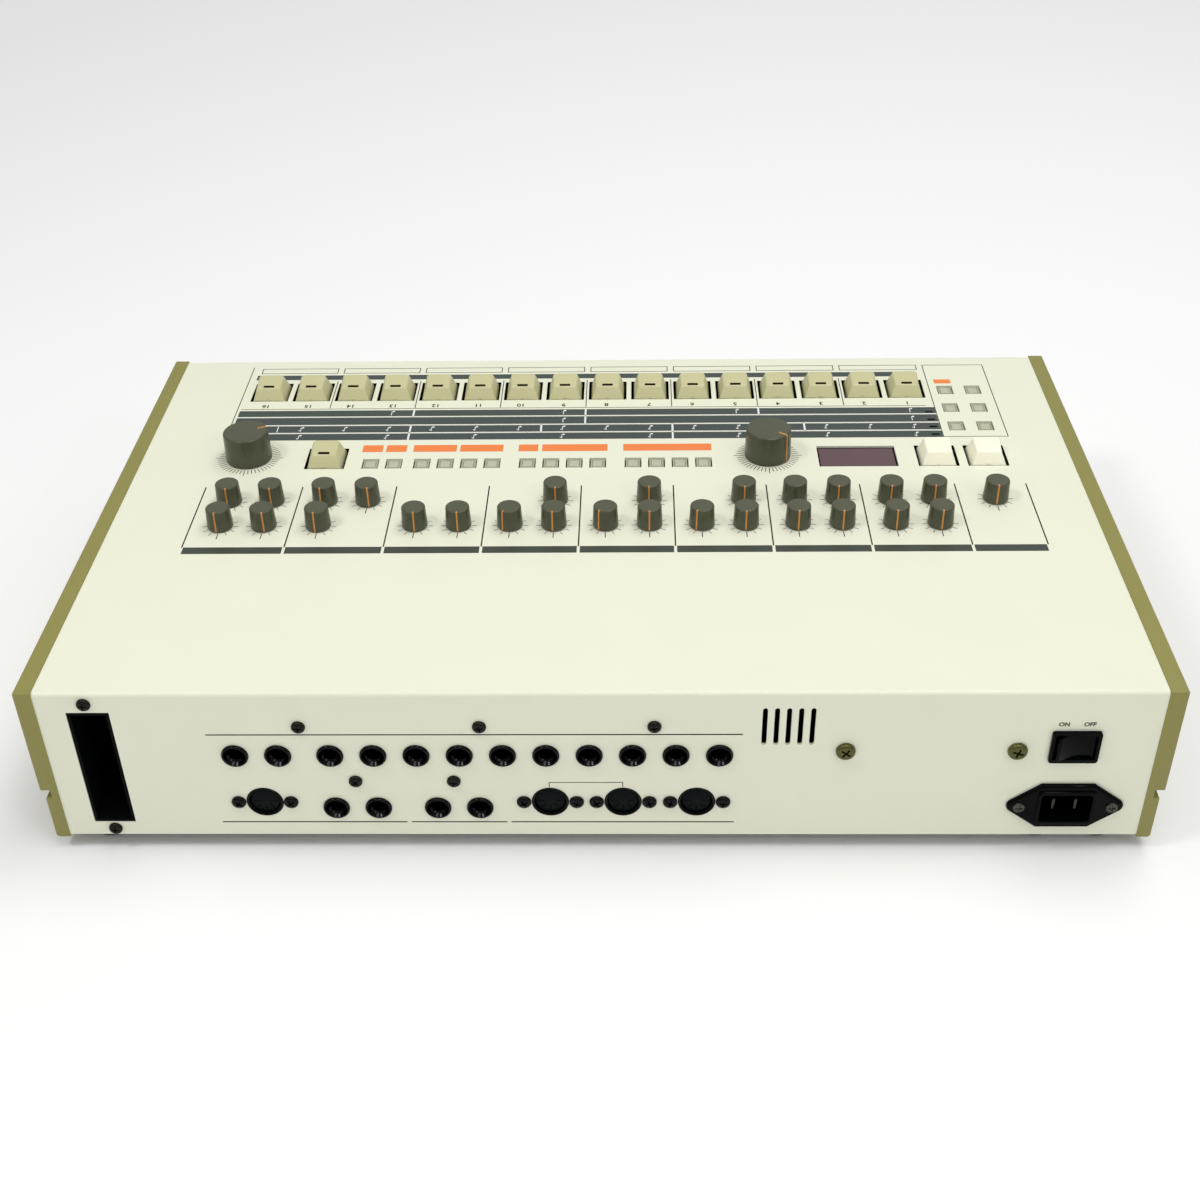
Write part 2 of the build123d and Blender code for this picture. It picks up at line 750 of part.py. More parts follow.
# ---------------------------------------------------------------- mains inlet
with BuildPart() as ac_inlet:
    with BuildSketch(rear_face) as flange:
        with Locations((inlet_x, inlet_z)):
            Polygon(
                (inlet_tip, 0), (inlet_shoulder, inlet_half_height),
                (-inlet_shoulder, inlet_half_height), (-inlet_tip, 0),
                (-inlet_shoulder, -inlet_half_height), (inlet_shoulder, -inlet_half_height),
                align=None,
            )
        tips = flange.vertices().sort_by(Axis.X)
        fillet([tips[0], tips[-1]], inlet_tip_radius)
    extrude(amount=-inlet_flange)
    chamfer(ac_inlet.faces().sort_by(Axis.Y)[-1].edges(), inlet_bevel)
    with BuildSketch(rear_face):
        with Locations((inlet_x, inlet_z)):
            RectangleRounded(*inlet_shroud, inlet_corner)
    extrude(amount=-rear_reach)
    with BuildSketch(rear_face):
        with Locations((inlet_x, inlet_z)):
            Rectangle(*inlet_body)
    extrude(amount=inlet_depth)
    with BuildSketch(Plane.XZ.offset(-rear_y - rear_reach)):
        with Locations((inlet_x, inlet_z)):
            RectangleRounded(*inlet_opening, inlet_corner)
    extrude(amount=inlet_recess, mode=Mode.SUBTRACT)
    with BuildSketch(rear_face):
        with Locations(blade_places):
            Rectangle(blade_thickness + 2 * blade_clearance, blade_height + 2 * blade_clearance)
    extrude(amount=2 * inlet_depth, mode=Mode.SUBTRACT)
finish(ac_inlet, "ac_inlet")

with BuildPart() as ac_inlet_blades:
    with BuildSketch(Plane.XZ.offset(-rear_y - rear_reach + blade_sunk)):
        with Locations(blade_places):
            Rectangle(blade_thickness, blade_height)
    extrude(amount=rear_reach - blade_sunk + inlet_depth + blade_tab)
finish(ac_inlet_blades, "ac_inlet_blades")

# ---------------------------------------------------------------- power switch
frame_face = rear_y + switch_frame_proud
pivot_y = frame_face - rocker_pivot_sunk
with BuildPart() as power_switch_body:
    with BuildSketch(rear_face):
        with Locations((switch_x, switch_z)):
            RectangleRounded(*switch_frame, switch_frame_corner)
    extrude(amount=-switch_frame_proud)
    with BuildSketch(rear_face):
        with Locations((switch_x, switch_z)):
            Rectangle(*switch_body)
    extrude(amount=switch_depth)
    with BuildSketch(Plane.XZ.offset(-frame_face)):
        with Locations((switch_x, switch_z)):
            Rectangle(*switch_opening)
    extrude(amount=switch_well, mode=Mode.SUBTRACT)
    # Holes for the rocker's two pivot pins, above and below the well.
    with BuildSketch(Plane.XY.offset(switch_z)):
        with Locations((switch_x, pivot_y)):
            RegularPolygon(rocker_pin / 2 + rocker_pin_clearance, bore_sides, major_radius=False)
    extrude(amount=switch_opening[1] / 2 + rocker_pin_length + rocker_pin_clearance,
            both=True, mode=Mode.SUBTRACT)
finish(power_switch_body, "power_switch_body")

rocker_radius = switch_opening[0] / 2 - rocker_gap
rocker_height = switch_opening[1] - 2 * rocker_gap
with BuildPart() as power_rocker:
    tilt = radians(rocker_tilt)
    with BuildSketch(Plane((switch_x, pivot_y, switch_z), (cos(tilt), sin(tilt), 0), (0, 0, 1))):
        Circle(rocker_radius)
        with Locations((0, rocker_rise)):
            Rectangle(
                2 * rocker_radius, rocker_radius,
                align=(Align.CENTER, Align.MIN), mode=Mode.SUBTRACT,
            )
        with Locations((0, rocker_rise + rocker_dish - rocker_hollow)):
            Circle(rocker_dish, mode=Mode.SUBTRACT)
    extrude(amount=rocker_height / 2, both=True)
    with BuildSketch(Plane.XY.offset(switch_z)):
        with Locations((switch_x, pivot_y)):
            RegularPolygon(rocker_pin / 2, bore_sides)
    extrude(amount=switch_opening[1] / 2 + rocker_pin_length, both=True)
finish(power_rocker, "power_rocker")

# ---------------------------------------------------------------- cartridge slot
with BuildPart() as cartridge_slot:
    with BuildSketch(Plane.XZ.offset(-inside_rear)):
        with Locations((slot_x, (cover_top + under_panel) / 2)):
            Rectangle(slot_flange, under_panel - cover_top - 2 * slot_flange_gap)
    extrude(amount=slot_flange_thickness)
    outer_slot = [size - 2 * fit_gap for size in slot_size]
    inner_slot = [size - 2 * slot_wall for size in outer_slot]
    with BuildSketch(rear_face):
        with Locations((slot_x, slot_z)):
            Rectangle(*outer_slot)
    extrude(amount=slot_depth)
    with BuildSketch(rear_face):
        with Locations((slot_x, slot_z)):
            Rectangle(*inner_slot)
    extrude(amount=slot_depth - slot_wall, mode=Mode.SUBTRACT)
    with BuildSketch(Plane.XZ.offset(-rear_y + slot_depth - slot_wall)):
        with Locations((slot_x, slot_z)):
            Rectangle(*edge_connector)
            Rectangle(edge_connector_slit, edge_connector[1] - 2 * slot_wall, mode=Mode.SUBTRACT)
    extrude(amount=-edge_connector_depth)
finish(cartridge_slot, "cartridge_slot")

# ---------------------------------------------------------------- jack board on its spacers
jack_board_front = inside_rear - jack_body_depth
jack_board_left = min(x for x, z in jack_places) - jack_body_width / 2 - jack_board_edge
jack_board_right = max(x for x, z in jack_places) + jack_body_width / 2 + jack_board_edge
jack_board_low = lower_jack_z - jack_body_height / 2
jack_board_high = max(z for x, z in spacer_places) + spacer_across
with BuildPart() as jack_board:
    with BuildSketch(Plane.XZ.offset(-jack_board_front)):
        with Locations((
            (jack_board_left + jack_board_right) / 2, (jack_board_low + jack_board_high) / 2
        )):
            Rectangle(jack_board_right - jack_board_left, jack_board_high - jack_board_low)
    extrude(amount=board)
    with BuildSketch(Plane.XZ.offset(-jack_board_front)):
        with Locations(spacer_places):
            RegularPolygon(spacer_across / 2, 6, major_radius=False)
    extrude(amount=-jack_body_depth)
finish(jack_board, "jack_board")

# ---------------------------------------------------------------- main board
lower_board_z = cover_top + board_stand
with BuildPart() as main_board:
    with BuildSketch(Plane.XY.offset(lower_board_z)):
        with Locations(main_board_mid):
            Rectangle(*main_board_size)
    extrude(amount=board)
    with BuildSketch(Plane.XY.offset(lower_board_z + board)):
        with Locations(main_board_mid):
            with GridLocations(*chip_pitch, chip_columns, chip_rows):
                Rectangle(chip[0], chip[1])
    extrude(amount=chip[2])
finish(main_board, "main_board")

# ---------------------------------------------------------------- power board
with BuildPart() as power_board:
    with BuildSketch(Plane.XY.offset(lower_board_z)):
        with Locations(power_board_mid):
            Rectangle(*power_board_size)
    extrude(amount=board)
    with BuildSketch(Plane.XY.offset(lower_board_z + board)):
        with Locations((power_board_mid[0] - power_board_size[0] / 4, power_board_mid[1])):
            RegularPolygon(capacitor[0] / 2, shown_sides)
    extrude(amount=capacitor[1])
finish(power_board, "power_board")

# ---------------------------------------------------------------- heat sink
# An angle of sheet bolted flat against the inside of the rear panel.
sink_left = min(x for x, z in bracket_places) - heat_sink_margin
sink_right = max(x for x, z in bracket_places) + heat_sink_margin
sink_top = max(z for x, z in bracket_places) + heat_sink_margin
with BuildPart() as heat_sink:
    with BuildSketch(Plane.YZ.offset(sink_left)):
        with BuildLine():
            Polyline(
                (inside_rear, sink_top),
                (inside_rear, sink_top - heat_sink_height),
                (inside_rear - heat_sink_ledge, sink_top - heat_sink_height),
                (inside_rear - heat_sink_ledge, sink_top - heat_sink_height + heat_sink_plate),
                (inside_rear - heat_sink_plate, sink_top - heat_sink_height + heat_sink_plate),
                (inside_rear - heat_sink_plate, sink_top),
                close=True,
            )
        make_face()
    extrude(amount=sink_right - sink_left)
finish(heat_sink, "heat_sink")

# ---------------------------------------------------------------- mains transformer
core_z = cover_top + transformer_bracket
coil_z = core_z + (transformer_core[2] - transformer_coil[2]) / 2
with BuildPart() as mains_transformer:
    for size, low in (
        ((transformer_coil[0], transformer_coil[1], transformer_bracket), cover_top),
        (transformer_core, core_z),
        (transformer_coil, coil_z),
    ):
        with Locations((*transformer_mid, low)):
            Box(*size, align=(Align.CENTER, Align.CENTER, Align.MIN))
finish(mains_transformer, "mains_transformer")
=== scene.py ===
# %% [markdown]
# # A drum machine, dressed for display
# The machine is a folded steel case between two moulded cheeks. On top are knobs, keys and lamp
# buttons, and along the rear are sockets, a switch and a mains inlet. The solids and their joints
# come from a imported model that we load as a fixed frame. This lesson gives them their finishes, and
# makes what the solids leave out: printed lines, pointer lines, screws, round rims and soft edges.
#
# Everything is in metres, with +Z up, +X the player's right and +Y the rear.

# %% Load the frame
import json
import math
from functools import partial

import bmesh
import bpy
from mathutils import Matrix, Vector


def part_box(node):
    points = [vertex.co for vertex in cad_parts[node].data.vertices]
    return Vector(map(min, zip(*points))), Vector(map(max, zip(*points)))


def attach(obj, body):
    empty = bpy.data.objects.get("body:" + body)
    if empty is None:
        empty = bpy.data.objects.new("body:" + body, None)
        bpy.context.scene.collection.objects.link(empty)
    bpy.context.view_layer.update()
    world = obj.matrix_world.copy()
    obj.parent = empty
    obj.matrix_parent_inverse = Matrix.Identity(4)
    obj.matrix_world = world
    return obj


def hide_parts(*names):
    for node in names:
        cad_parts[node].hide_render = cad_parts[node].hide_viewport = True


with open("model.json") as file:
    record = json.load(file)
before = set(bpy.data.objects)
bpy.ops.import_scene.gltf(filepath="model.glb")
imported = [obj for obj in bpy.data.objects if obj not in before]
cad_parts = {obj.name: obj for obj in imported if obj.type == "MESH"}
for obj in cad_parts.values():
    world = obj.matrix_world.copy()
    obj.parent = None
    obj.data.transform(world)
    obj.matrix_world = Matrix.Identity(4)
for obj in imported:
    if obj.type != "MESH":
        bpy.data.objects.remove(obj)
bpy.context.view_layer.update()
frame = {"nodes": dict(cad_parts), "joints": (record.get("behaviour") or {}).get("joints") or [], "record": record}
MM = 0.001

# %% [markdown]
# ## The camera
# We look at the rear from above, so +X is on the left. A camera in Blender looks along its own -Z.
# Three turns are easy to read one by one: yaw, which also swings it round to face the rear, pitch
# and roll.

# %% The camera
CAMERA_PLACE = Vector((-17.7, 661.2, 509.7)) * MM
CAMERA_YAW = 181.69
CAMERA_PITCH = 54.05
CAMERA_ROLL = -1.17
CAMERA_LENS = 48.11


def turn(degrees, axis):
    """A rotation about one axis, from an angle in degrees."""
    return Matrix.Rotation(math.radians(degrees), 4, axis)


def in_scene(name, data):
    """A new object that shows this data, in the scene."""
    thing = bpy.data.objects.new(name, data)
    bpy.context.scene.collection.objects.link(thing)
    return thing


camera = in_scene("camera", bpy.data.cameras.new("camera"))
camera.data.lens = CAMERA_LENS
camera.data.sensor_width = 36
camera.matrix_world = (
    Matrix.Translation(CAMERA_PLACE)
    @ turn(CAMERA_YAW, "Z")
    @ turn(CAMERA_PITCH, "X")
    @ turn(CAMERA_ROLL, "Z")
)
bpy.context.scene.camera = camera
bpy.context.scene.view_settings.view_transform = "Standard"

# %% [markdown]
# ## Materials from nodes
# A finish is more than one colour. Paint and plastic vary a little in tone over a hand's width, and
# have a fine grain that breaks up their highlights. Both can come from noise on Object coordinates,
# which stay with the piece when it moves. A short helper adds nodes, and every finish uses it.

# %% Helpers for shader and geometry nodes
def join(tree, value, socket):
    """Gives a socket a plain value, or a link from a socket or from a node's first output in use.

    A list joins all that it holds to the one socket.
    """
    for source in value if isinstance(value, list) else [value]:
        if isinstance(source, bpy.types.Node):
            source = next(output for output in source.outputs if output.enabled)
        if isinstance(source, bpy.types.NodeSocket):
            tree.links.new(source, socket)
        else:
            socket.default_value = source


def add_node(tree, kind, inputs=None, **settings):
    """Adds one node, whose kind is named without its family, and fills its inputs."""
    families = ["ShaderNode"]
    if tree.type == "GEOMETRY":
        families = ["GeometryNode", "ShaderNode", "FunctionNode"]
    node = tree.nodes.new(next(f + kind for f in families if hasattr(bpy.types, f + kind)))
    for name, value in settings.items():
        setattr(node, name, value)
    for name, value in (inputs or {}).items():
        join(tree, value, node.inputs[name])
    return node


def finish(name, light, dark, roughness, grain=0.0, grain_size=0.4, patch_size=30.0,
           specular=0.5, metallic=0.0):
    """A coloured finish that drifts between two tones, with a fine grain in its surface.

    Grain depth, grain size and patch size are in millimetres.
    """
    material = bpy.data.materials.new(name)
    material.use_nodes = True
    tree = material.node_tree
    place = add_node(tree, "TexCoord").outputs["Object"]

    def noise(spread, detail):
        scale = 1 / (spread * MM)
        return add_node(tree, "TexNoise", {"Vector": place, "Scale": scale, "Detail": detail})

    # A Mix node has one A and B per kind of data: 6 and 7 are colours.
    tones = add_node(
        tree, "Mix", {"Factor": noise(patch_size, 3.0), 6: (*dark, 1), 7: (*light, 1)},
        data_type="RGBA",
    )
    fine = noise(grain_size, 2.0)
    gloss = add_node(
        tree, "MapRange", {"Value": fine, "To Min": roughness - 0.05, "To Max": roughness + 0.05}
    )
    look = {
        "Base Color": tones, "Roughness": gloss, "Specular IOR Level": specular,
        "Metallic": metallic,
    }
    if grain:
        look["Normal"] = add_node(tree, "Bump", {"Height": fine, "Distance": grain * MM})
    for socket, value in look.items():
        join(tree, value, tree.nodes["Principled BSDF"].inputs[socket])
    return material


# %% [markdown]
# ## The finishes
# The case has a satin cream paint with the faint orange peel of a sprayed coat. The cheeks are an
# olive plastic with a spark texture, the knobs and keys smoother mouldings. Black plastic mirrors
# less than the paint does, so its specular level is low. Inks are flat and thin.

# %% Finishes for paint, cheeks, keys and knobs
case_paint = finish(
    "case paint", (0.825, 0.835, 0.672), (0.795, 0.805, 0.638), 0.4, grain=0.03, grain_size=0.9,
    specular=0.4,
)
cheek_plastic = finish(
    "cheek plastic", (0.28, 0.262, 0.077), (0.248, 0.232, 0.064), 0.5, grain=0.05,
    grain_size=0.35, specular=0.35,
)
key_plastic = finish(
    "key plastic", (0.592, 0.572, 0.322), (0.552, 0.532, 0.292), 0.38, grain=0.01, grain_size=0.5
)
white_key_plastic = finish(
    "white key plastic", (0.96, 0.935, 0.745), (0.935, 0.91, 0.71), 0.36, grain=0.01
)
knob_plastic = finish(
    "knob plastic", (0.071, 0.076, 0.042), (0.058, 0.062, 0.034), 0.28, grain=0.02,
    grain_size=0.3, patch_size=12, specular=0.4,
)
# The crown's lighter tone is partly its own finish and partly painted light on the knob's top.
knob_crown_plastic_painted_lighter = finish(
    "knob crown", (0.086, 0.092, 0.054), (0.072, 0.077, 0.043), 0.46, grain=0.03, grain_size=0.25,
    patch_size=12,
)
button_frame_plastic = finish("button frame", (0.42, 0.415, 0.29), (0.37, 0.365, 0.25), 0.35)
# The dark ring round a button's lens is painted shade, for the gap between lens and cap.
button_gap_painted_shade = finish("button gap", (0.23, 0.222, 0.148), (0.2, 0.192, 0.128), 0.5)
button_lens_plastic = finish("button lens", (0.52, 0.52, 0.38), (0.47, 0.47, 0.34), 0.28)
lamp_plastic = finish("lamp lens", (0.014, 0.01, 0.002), (0.009, 0.007, 0.001), 0.4, specular=0.08)

# %% Finishes for black parts, metals and what lies inside
black_plastic = finish(
    "black plastic", (0.0012, 0.0016, 0.0018), (0.0006, 0.0009, 0.001), 0.15, specular=0.06
)
matt_black = finish(
    "matt black", (0.0016, 0.002, 0.0022), (0.0008, 0.0011, 0.0012), 0.55, grain=0.02, specular=0.05
)
glossy_black = finish(
    "glossy black", (0.0012, 0.0014, 0.0012), (0.0006, 0.0007, 0.0006), 0.11, specular=0.16
)
rubber = finish("rubber", (0.02, 0.02, 0.02), (0.012, 0.012, 0.012), 0.75, grain=0.05)
window_plastic = finish("window plastic", (0.12, 0.07, 0.078), (0.108, 0.062, 0.07), 0.16)
black_steel = finish(
    "black steel", (0.01, 0.01, 0.004), (0.004, 0.004, 0.002), 0.14, patch_size=4, specular=0.17
)
olive_steel = finish(
    "olive steel", (0.13, 0.123, 0.032), (0.06, 0.056, 0.015), 0.3, patch_size=4, metallic=0.6
)
grey_steel = finish(
    "grey steel", (0.11, 0.106, 0.088), (0.03, 0.029, 0.024), 0.2, patch_size=2, metallic=0.9
)
bright_steel = finish("bright steel", (0.52, 0.51, 0.46), (0.42, 0.41, 0.37), 0.22, metallic=1)
blade_steel = finish(
    "blade steel", (0.075, 0.073, 0.062), (0.018, 0.018, 0.015), 0.18, patch_size=3, metallic=1
)
cover_steel = finish("cover steel", (0.56, 0.56, 0.54), (0.48, 0.48, 0.46), 0.35, metallic=0.9)
board_green = finish("circuit board", (0.02, 0.11, 0.04), (0.015, 0.09, 0.03), 0.35)
part_grey = finish("part grey", (0.06, 0.06, 0.062), (0.045, 0.045, 0.047), 0.45)
sink_aluminium = finish("sink aluminium", (0.62, 0.62, 0.62), (0.56, 0.56, 0.56), 0.32, metallic=1)
core_iron = finish("core iron", (0.09, 0.088, 0.085), (0.06, 0.058, 0.055), 0.5, metallic=0.8)

# %% Inks
dark_ink = finish("dark ink", (0.024, 0.023, 0.012), (0.017, 0.016, 0.008), 0.55, specular=0.15)
bar_ink = finish("bar ink", (0.052, 0.07, 0.062), (0.042, 0.058, 0.052), 0.42, patch_size=60)
strip_ink = finish("strip ink", (0.054, 0.062, 0.048), (0.044, 0.052, 0.04), 0.42)
orange_ink = finish("orange ink", (0.89, 0.24, 0.056), (0.86, 0.218, 0.046), 0.45)
white_ink = finish("white ink", (0.82, 0.84, 0.78), (0.79, 0.81, 0.75), 0.45)
pointer_ink = finish("pointer ink", (0.62, 0.265, 0.06), (0.54, 0.22, 0.046), 0.4)

# %% Give every node its finish
SLOT_FINISH = {
    "case_paint": case_paint, "cover_steel": cover_steel, "cheek_plastic": cheek_plastic,
    "foot_rubber": rubber, "window_plastic": window_plastic, "socket_black": black_plastic,
    "rocker_black": black_plastic, "slot_plastic": matt_black, "blade_metal": blade_steel,
    "key_cream": key_plastic, "key_white": white_key_plastic, "button_smoke": button_frame_plastic,
    "knob_grey": knob_plastic, "board_green": board_green, "part_grey": part_grey,
    "sink_aluminium": sink_aluminium, "core_iron": core_iron,
}
slot_of = {part["node"]: part["material_slot"] for part in frame["record"]["subparts"]}
for name, node in frame["nodes"].items():
    node.data.materials.clear()
    node.data.materials.append(SLOT_FINISH[slot_of[name]])
print("finishes", len(bpy.data.materials))

# %% [markdown]
# ## Places read from the frame
# A node such as the step keys holds several solids. Their places are already in the frame, so we
# read them there. Walking from each vertex to its neighbours collects one solid at a time, once the
# loose triangles are joined.

# %% Read places from the nodes
def joined_form(node):
    """The node's surface as one bmesh, with the corners of its loose triangles joined."""
    form = bmesh.new()
    form.from_mesh(frame["nodes"][node].data)
    bmesh.ops.remove_doubles(form, verts=form.verts, dist=0.005 * MM)
    return form


def mesh_of(name, form):
    """The bmesh as a mesh. The bmesh is then gone."""
    mesh = bpy.data.meshes.new(name)
    form.to_mesh(mesh)
    form.free()
    return mesh


def solids_in(node):
    """The lowest and highest corner of each solid in a node, in order of x and then y."""
    form = joined_form(node)
    waiting = set(form.verts)
    boxes = []
    while waiting:
        edge = [waiting.pop()]
        corners = []
        while edge:
            vertex = edge.pop()
            corners.append(vertex.co.copy())
            near = {link.other_vert(vertex) for link in vertex.link_edges} & waiting
            waiting -= near
            edge.extend(near)
        low = Vector(min(c[i] for c in corners) for i in range(3))
        high = Vector(max(c[i] for c in corners) for i in range(3))
        boxes.append((low, high))
    form.free()
    return sorted(boxes, key=lambda box: (round(box[0].x, 4), round(box[0].y, 4)))


def middles(boxes, y=None, z=None):
    """The middle of each box. A depth or a height that is given is used in place of its own."""
    centres = [(low + high) / 2 for low, high in boxes]
    return [(c.x, c.y if y is None else y, c.z if z is None else z) for c in centres]


STEP_NODES = ["step_keys_1_to_4", "step_keys_5_to_8", "step_keys_9_to_12", "step_keys_13_to_16"]
key_boxes = {name: solids_in(name) for name in STEP_NODES + ["start_key", "stop_key", "enter_key"]}
step_x = sorted(place[0] for name in STEP_NODES for place in middles(key_boxes[name]))
STEP_PITCH = (step_x[-1] - step_x[0]) / (len(step_x) - 1)
case_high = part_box("top_case")[1]
PANEL_Z = case_high.z
REAR_Y = case_high.y
print("step pitch", round(STEP_PITCH / MM, 2), "panel", round(PANEL_Z / MM, 1))

# %% [markdown]
# ## Soft edges for moulded pieces
# The solids have crisp edges. Moulded plastic and folded steel never do, and the thin highlight
# along an edge tells us so. A copy of the node is joined into one skin and gets a small bevel. The
# copy then stands for the node, which stays in the frame for collision, hidden.

# %% A softened copy of a node
def new_piece(name, mesh, *materials):
    """An object that shows this mesh with these materials."""
    piece = in_scene(name, mesh)
    mesh.materials.clear()
    for material in materials:
        mesh.materials.append(material)
    return piece


def smooth_but_sharp(mesh, angle=35):
    """Shades a mesh smooth, apart from edges that turn by more than this angle."""
    mesh.shade_smooth()
    mesh.set_sharp_from_angle(angle=math.radians(angle))


def final_mesh(thing):
    """The mesh that an object shows once its modifiers have run."""
    depsgraph = bpy.context.evaluated_depsgraph_get()
    return bpy.data.meshes.new_from_object(thing.evaluated_get(depsgraph), depsgraph=depsgraph)


def plain_mesh(piece):
    """Turns a piece with modifiers into one plain mesh."""
    mesh = final_mesh(piece)
    piece.modifiers.clear()
    piece.data = mesh
    return piece


def with_soft_edges(piece, edge):
    """Rounds every edge that turns by more than 30 degrees, by edge millimetres."""
    bevel = piece.modifiers.new("edges", "BEVEL")
    bevel.width = edge * MM
    bevel.segments = 3
    bevel.limit_method = "ANGLE"
    bevel.angle_limit = math.radians(30)
    plain_mesh(piece)
    smooth_but_sharp(piece.data)
    return piece


def flats_joined(form, angle):
    """Joins the triangles of each flat area into one face."""
    bmesh.ops.dissolve_limit(
        form, angle_limit=math.radians(angle), verts=form.verts, edges=form.edges
    )
    return form


def softened(node, edge):
    """A copy of the node with soft edges."""
    name = node + "_skin"
    mesh = mesh_of(name, flats_joined(joined_form(node), 1))
    return with_soft_edges(new_piece(name, mesh, SLOT_FINISH[slot_of[node]]), edge)


def stand_for(piece, node, body):
    """The piece moves with the body and is shown in place of the node."""
    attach(piece, body)
    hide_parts(node)


# %% Soften the mouldings
for node, edge in (("left_end_cheek", 0.35), ("right_end_cheek", 0.35), ("ac_inlet", 0.6),
                   ("power_switch_body", 0.35), ("cartridge_slot", 0.3), ("ac_inlet_blades", 0.5)):
    stand_for(softened(node, edge), node, "case")
stand_for(softened("power_rocker", 0.35), "power_rocker", "power_rocker")

# %% [markdown]
# ## The case's own skin
# The steel is bent over a small radius, and its curve should shade as one smooth turn, while the
# flats beside it stay flat. No bevel is needed here, because the fold is already in the solid. The
# Weighted Normal modifier lets the large flats decide how the fold's narrow strips shade.

# %% The case's skin
SLOT_HALF_X = 10.2
# Where to look for a slot's ends, in millimetres: from the key's middle, past its side, along it
# and down through the sheet.
END_FROM, END_PAST, END_HALF_Y, SHEET = 9, 1.2, 10.5, 2


def open_key_slots(form):
    """Moves the ends of each key's slot out a little, to leave the dark gap of the real one."""
    for low, high in (box for boxes in key_boxes.values() for box in boxes):
        x, y = (low.x + high.x) / 2, (low.y + high.y) / 2
        reach = (high.x - low.x) / 2 + END_PAST * MM
        for vertex in form.verts:
            across = abs(vertex.co.x - x)
            at_end = END_FROM * MM < across < reach and abs(vertex.co.y - y) < END_HALF_Y * MM
            if at_end and vertex.co.z > PANEL_Z - SHEET * MM:
                vertex.co.x = x + math.copysign(SLOT_HALF_X * MM, vertex.co.x - x)


form = joined_form("top_case")
open_key_slots(form)
mesh = mesh_of("case_skin", flats_joined(form, 0.5))
smooth_but_sharp(mesh, 30)
case_skin = new_piece("case_skin", mesh, case_paint)
weighted = case_skin.modifiers.new("flats first", "WEIGHTED_NORMAL")
weighted.keep_sharp = True
stand_for(plain_mesh(case_skin), "top_case", "case")
print("case faces", len(case_skin.data.polygons))

# %% [markdown]
# ## Running a geometry tree
# What repeats is made by Geometry Nodes. A tree is a recipe with named sizes. We run it on a small
# mesh of points, take the result as a plain mesh, and throw the modifier away.

# %% Helpers for geometry trees
SOCKET_KIND = {
    float: "NodeSocketFloat", int: "NodeSocketInt", Vector: "NodeSocketVector",
    bpy.types.Material: "NodeSocketMaterial", bpy.types.Object: "NodeSocketObject",
}


def math_node(tree, operation, a, b=0.0):
    """One sum on numbers or sockets."""
    return add_node(tree, "Math", {0: a, 1: b}, operation=operation)


def vector_node(tree, x, y, z):
    """Three numbers or sockets as one vector."""
    return add_node(tree, "CombineXYZ", {"X": x, "Y": y, "Z": z})


def new_tree(name, sizes):
    """A geometry tree with a named input for each size.

    With it come three functions that add a node, a sum and a vector to it, the sockets of its
    inputs, and the socket of its result.
    """
    tree = bpy.data.node_groups.new(name, "GeometryNodeTree")
    for way in ("INPUT", "OUTPUT"):
        tree.interface.new_socket("Geometry", in_out=way, socket_type="NodeSocketGeometry")
    for label, kind in sizes.items():
        tree.interface.new_socket(label, in_out="INPUT", socket_type=SOCKET_KIND[kind])
    first = tree.nodes.new("NodeGroupInput")
    last = tree.nodes.new("NodeGroupOutput")
    helpers = [partial(helper, tree) for helper in (add_node, math_node, vector_node)]
    return tree, *helpers, first.outputs, last.inputs["Geometry"]


def grow(name, tree, points, sizes):
    """Runs a tree on points and returns the result as a piece with a plain mesh."""
    mesh = bpy.data.meshes.new(name)
    mesh.from_pydata([tuple(point) for point in points], [], [])
    piece = in_scene(name, mesh)
    modifier = piece.modifiers.new("tree", "NODES")
    modifier.node_group = tree
    for item in tree.interface.items_tree:
        if item.in_out == "INPUT" and item.name in sizes:
            modifier[item.identifier] = sizes[item.name]
    return plain_mesh(piece)


# %% [markdown]
# ## Copies of one shape
# Keys, buttons, collars and screws each repeat one shape. This tree lays a shape on every point and
# can spin each copy about its own axis, as real screws stop at any angle. The seed is fixed, so the
# spin is the same each time.

# %% The tree of copies
copies_tree, add, sums, vector, size, result = new_tree("copies on points", {
    "Shape": bpy.types.Object, "Turn": Vector, "Spin": float, "Seed": int,
    "Finish": bpy.types.Material,
})
shape = add("ObjectInfo", {"Object": size["Shape"]}, transform_space="ORIGINAL").outputs["Geometry"]
laid = add(
    "InstanceOnPoints",
    {"Points": size["Geometry"], "Instance": shape, "Rotation": size["Turn"]},
)
# Random Value has a Min and Max for each kind of data: 2 and 3 are plain numbers.
any_angle = add(
    "RandomValue",
    {"Seed": size["Seed"], 2: sums("MULTIPLY", size["Spin"], -1.0), 3: size["Spin"]},
    data_type="FLOAT",
)
spun = add(
    "RotateInstances",
    {"Instances": laid, "Local Space": True, "Rotation": vector(0, 0, any_angle)},
)
real = add("RealizeInstances", {"Geometry": spun})
finished = add("SetMaterial", {"Geometry": real, "Material": size["Finish"]})
join(copies_tree, finished, result)

OUT_OF_REAR = (-math.pi / 2, 0, 0)


def copies(name, mesh, places, material, turned=(0, 0, 0), spin=0.0, seed=1):
    """One piece with a copy of the mesh at each place. Turned is in radians, spin in degrees."""
    pattern = new_piece(name + "_pattern", mesh, material)
    piece = grow(name, copies_tree, places, {
        "Shape": pattern, "Turn": turned, "Spin": math.radians(spin), "Seed": seed,
        "Finish": material,
    })
    bpy.data.objects.remove(pattern)
    smooth_but_sharp(piece.data)
    print(name, len(places), "copies", len(piece.data.polygons), "faces")
    return piece


# %% [markdown]
# Two shapes come back again and again: a profile spun round an axis, as on a lathe, and a block
# with rounded corners. A lathed shape, a key and its housing are all rings of vertices with faces
# between them, so one helper lays those faces.

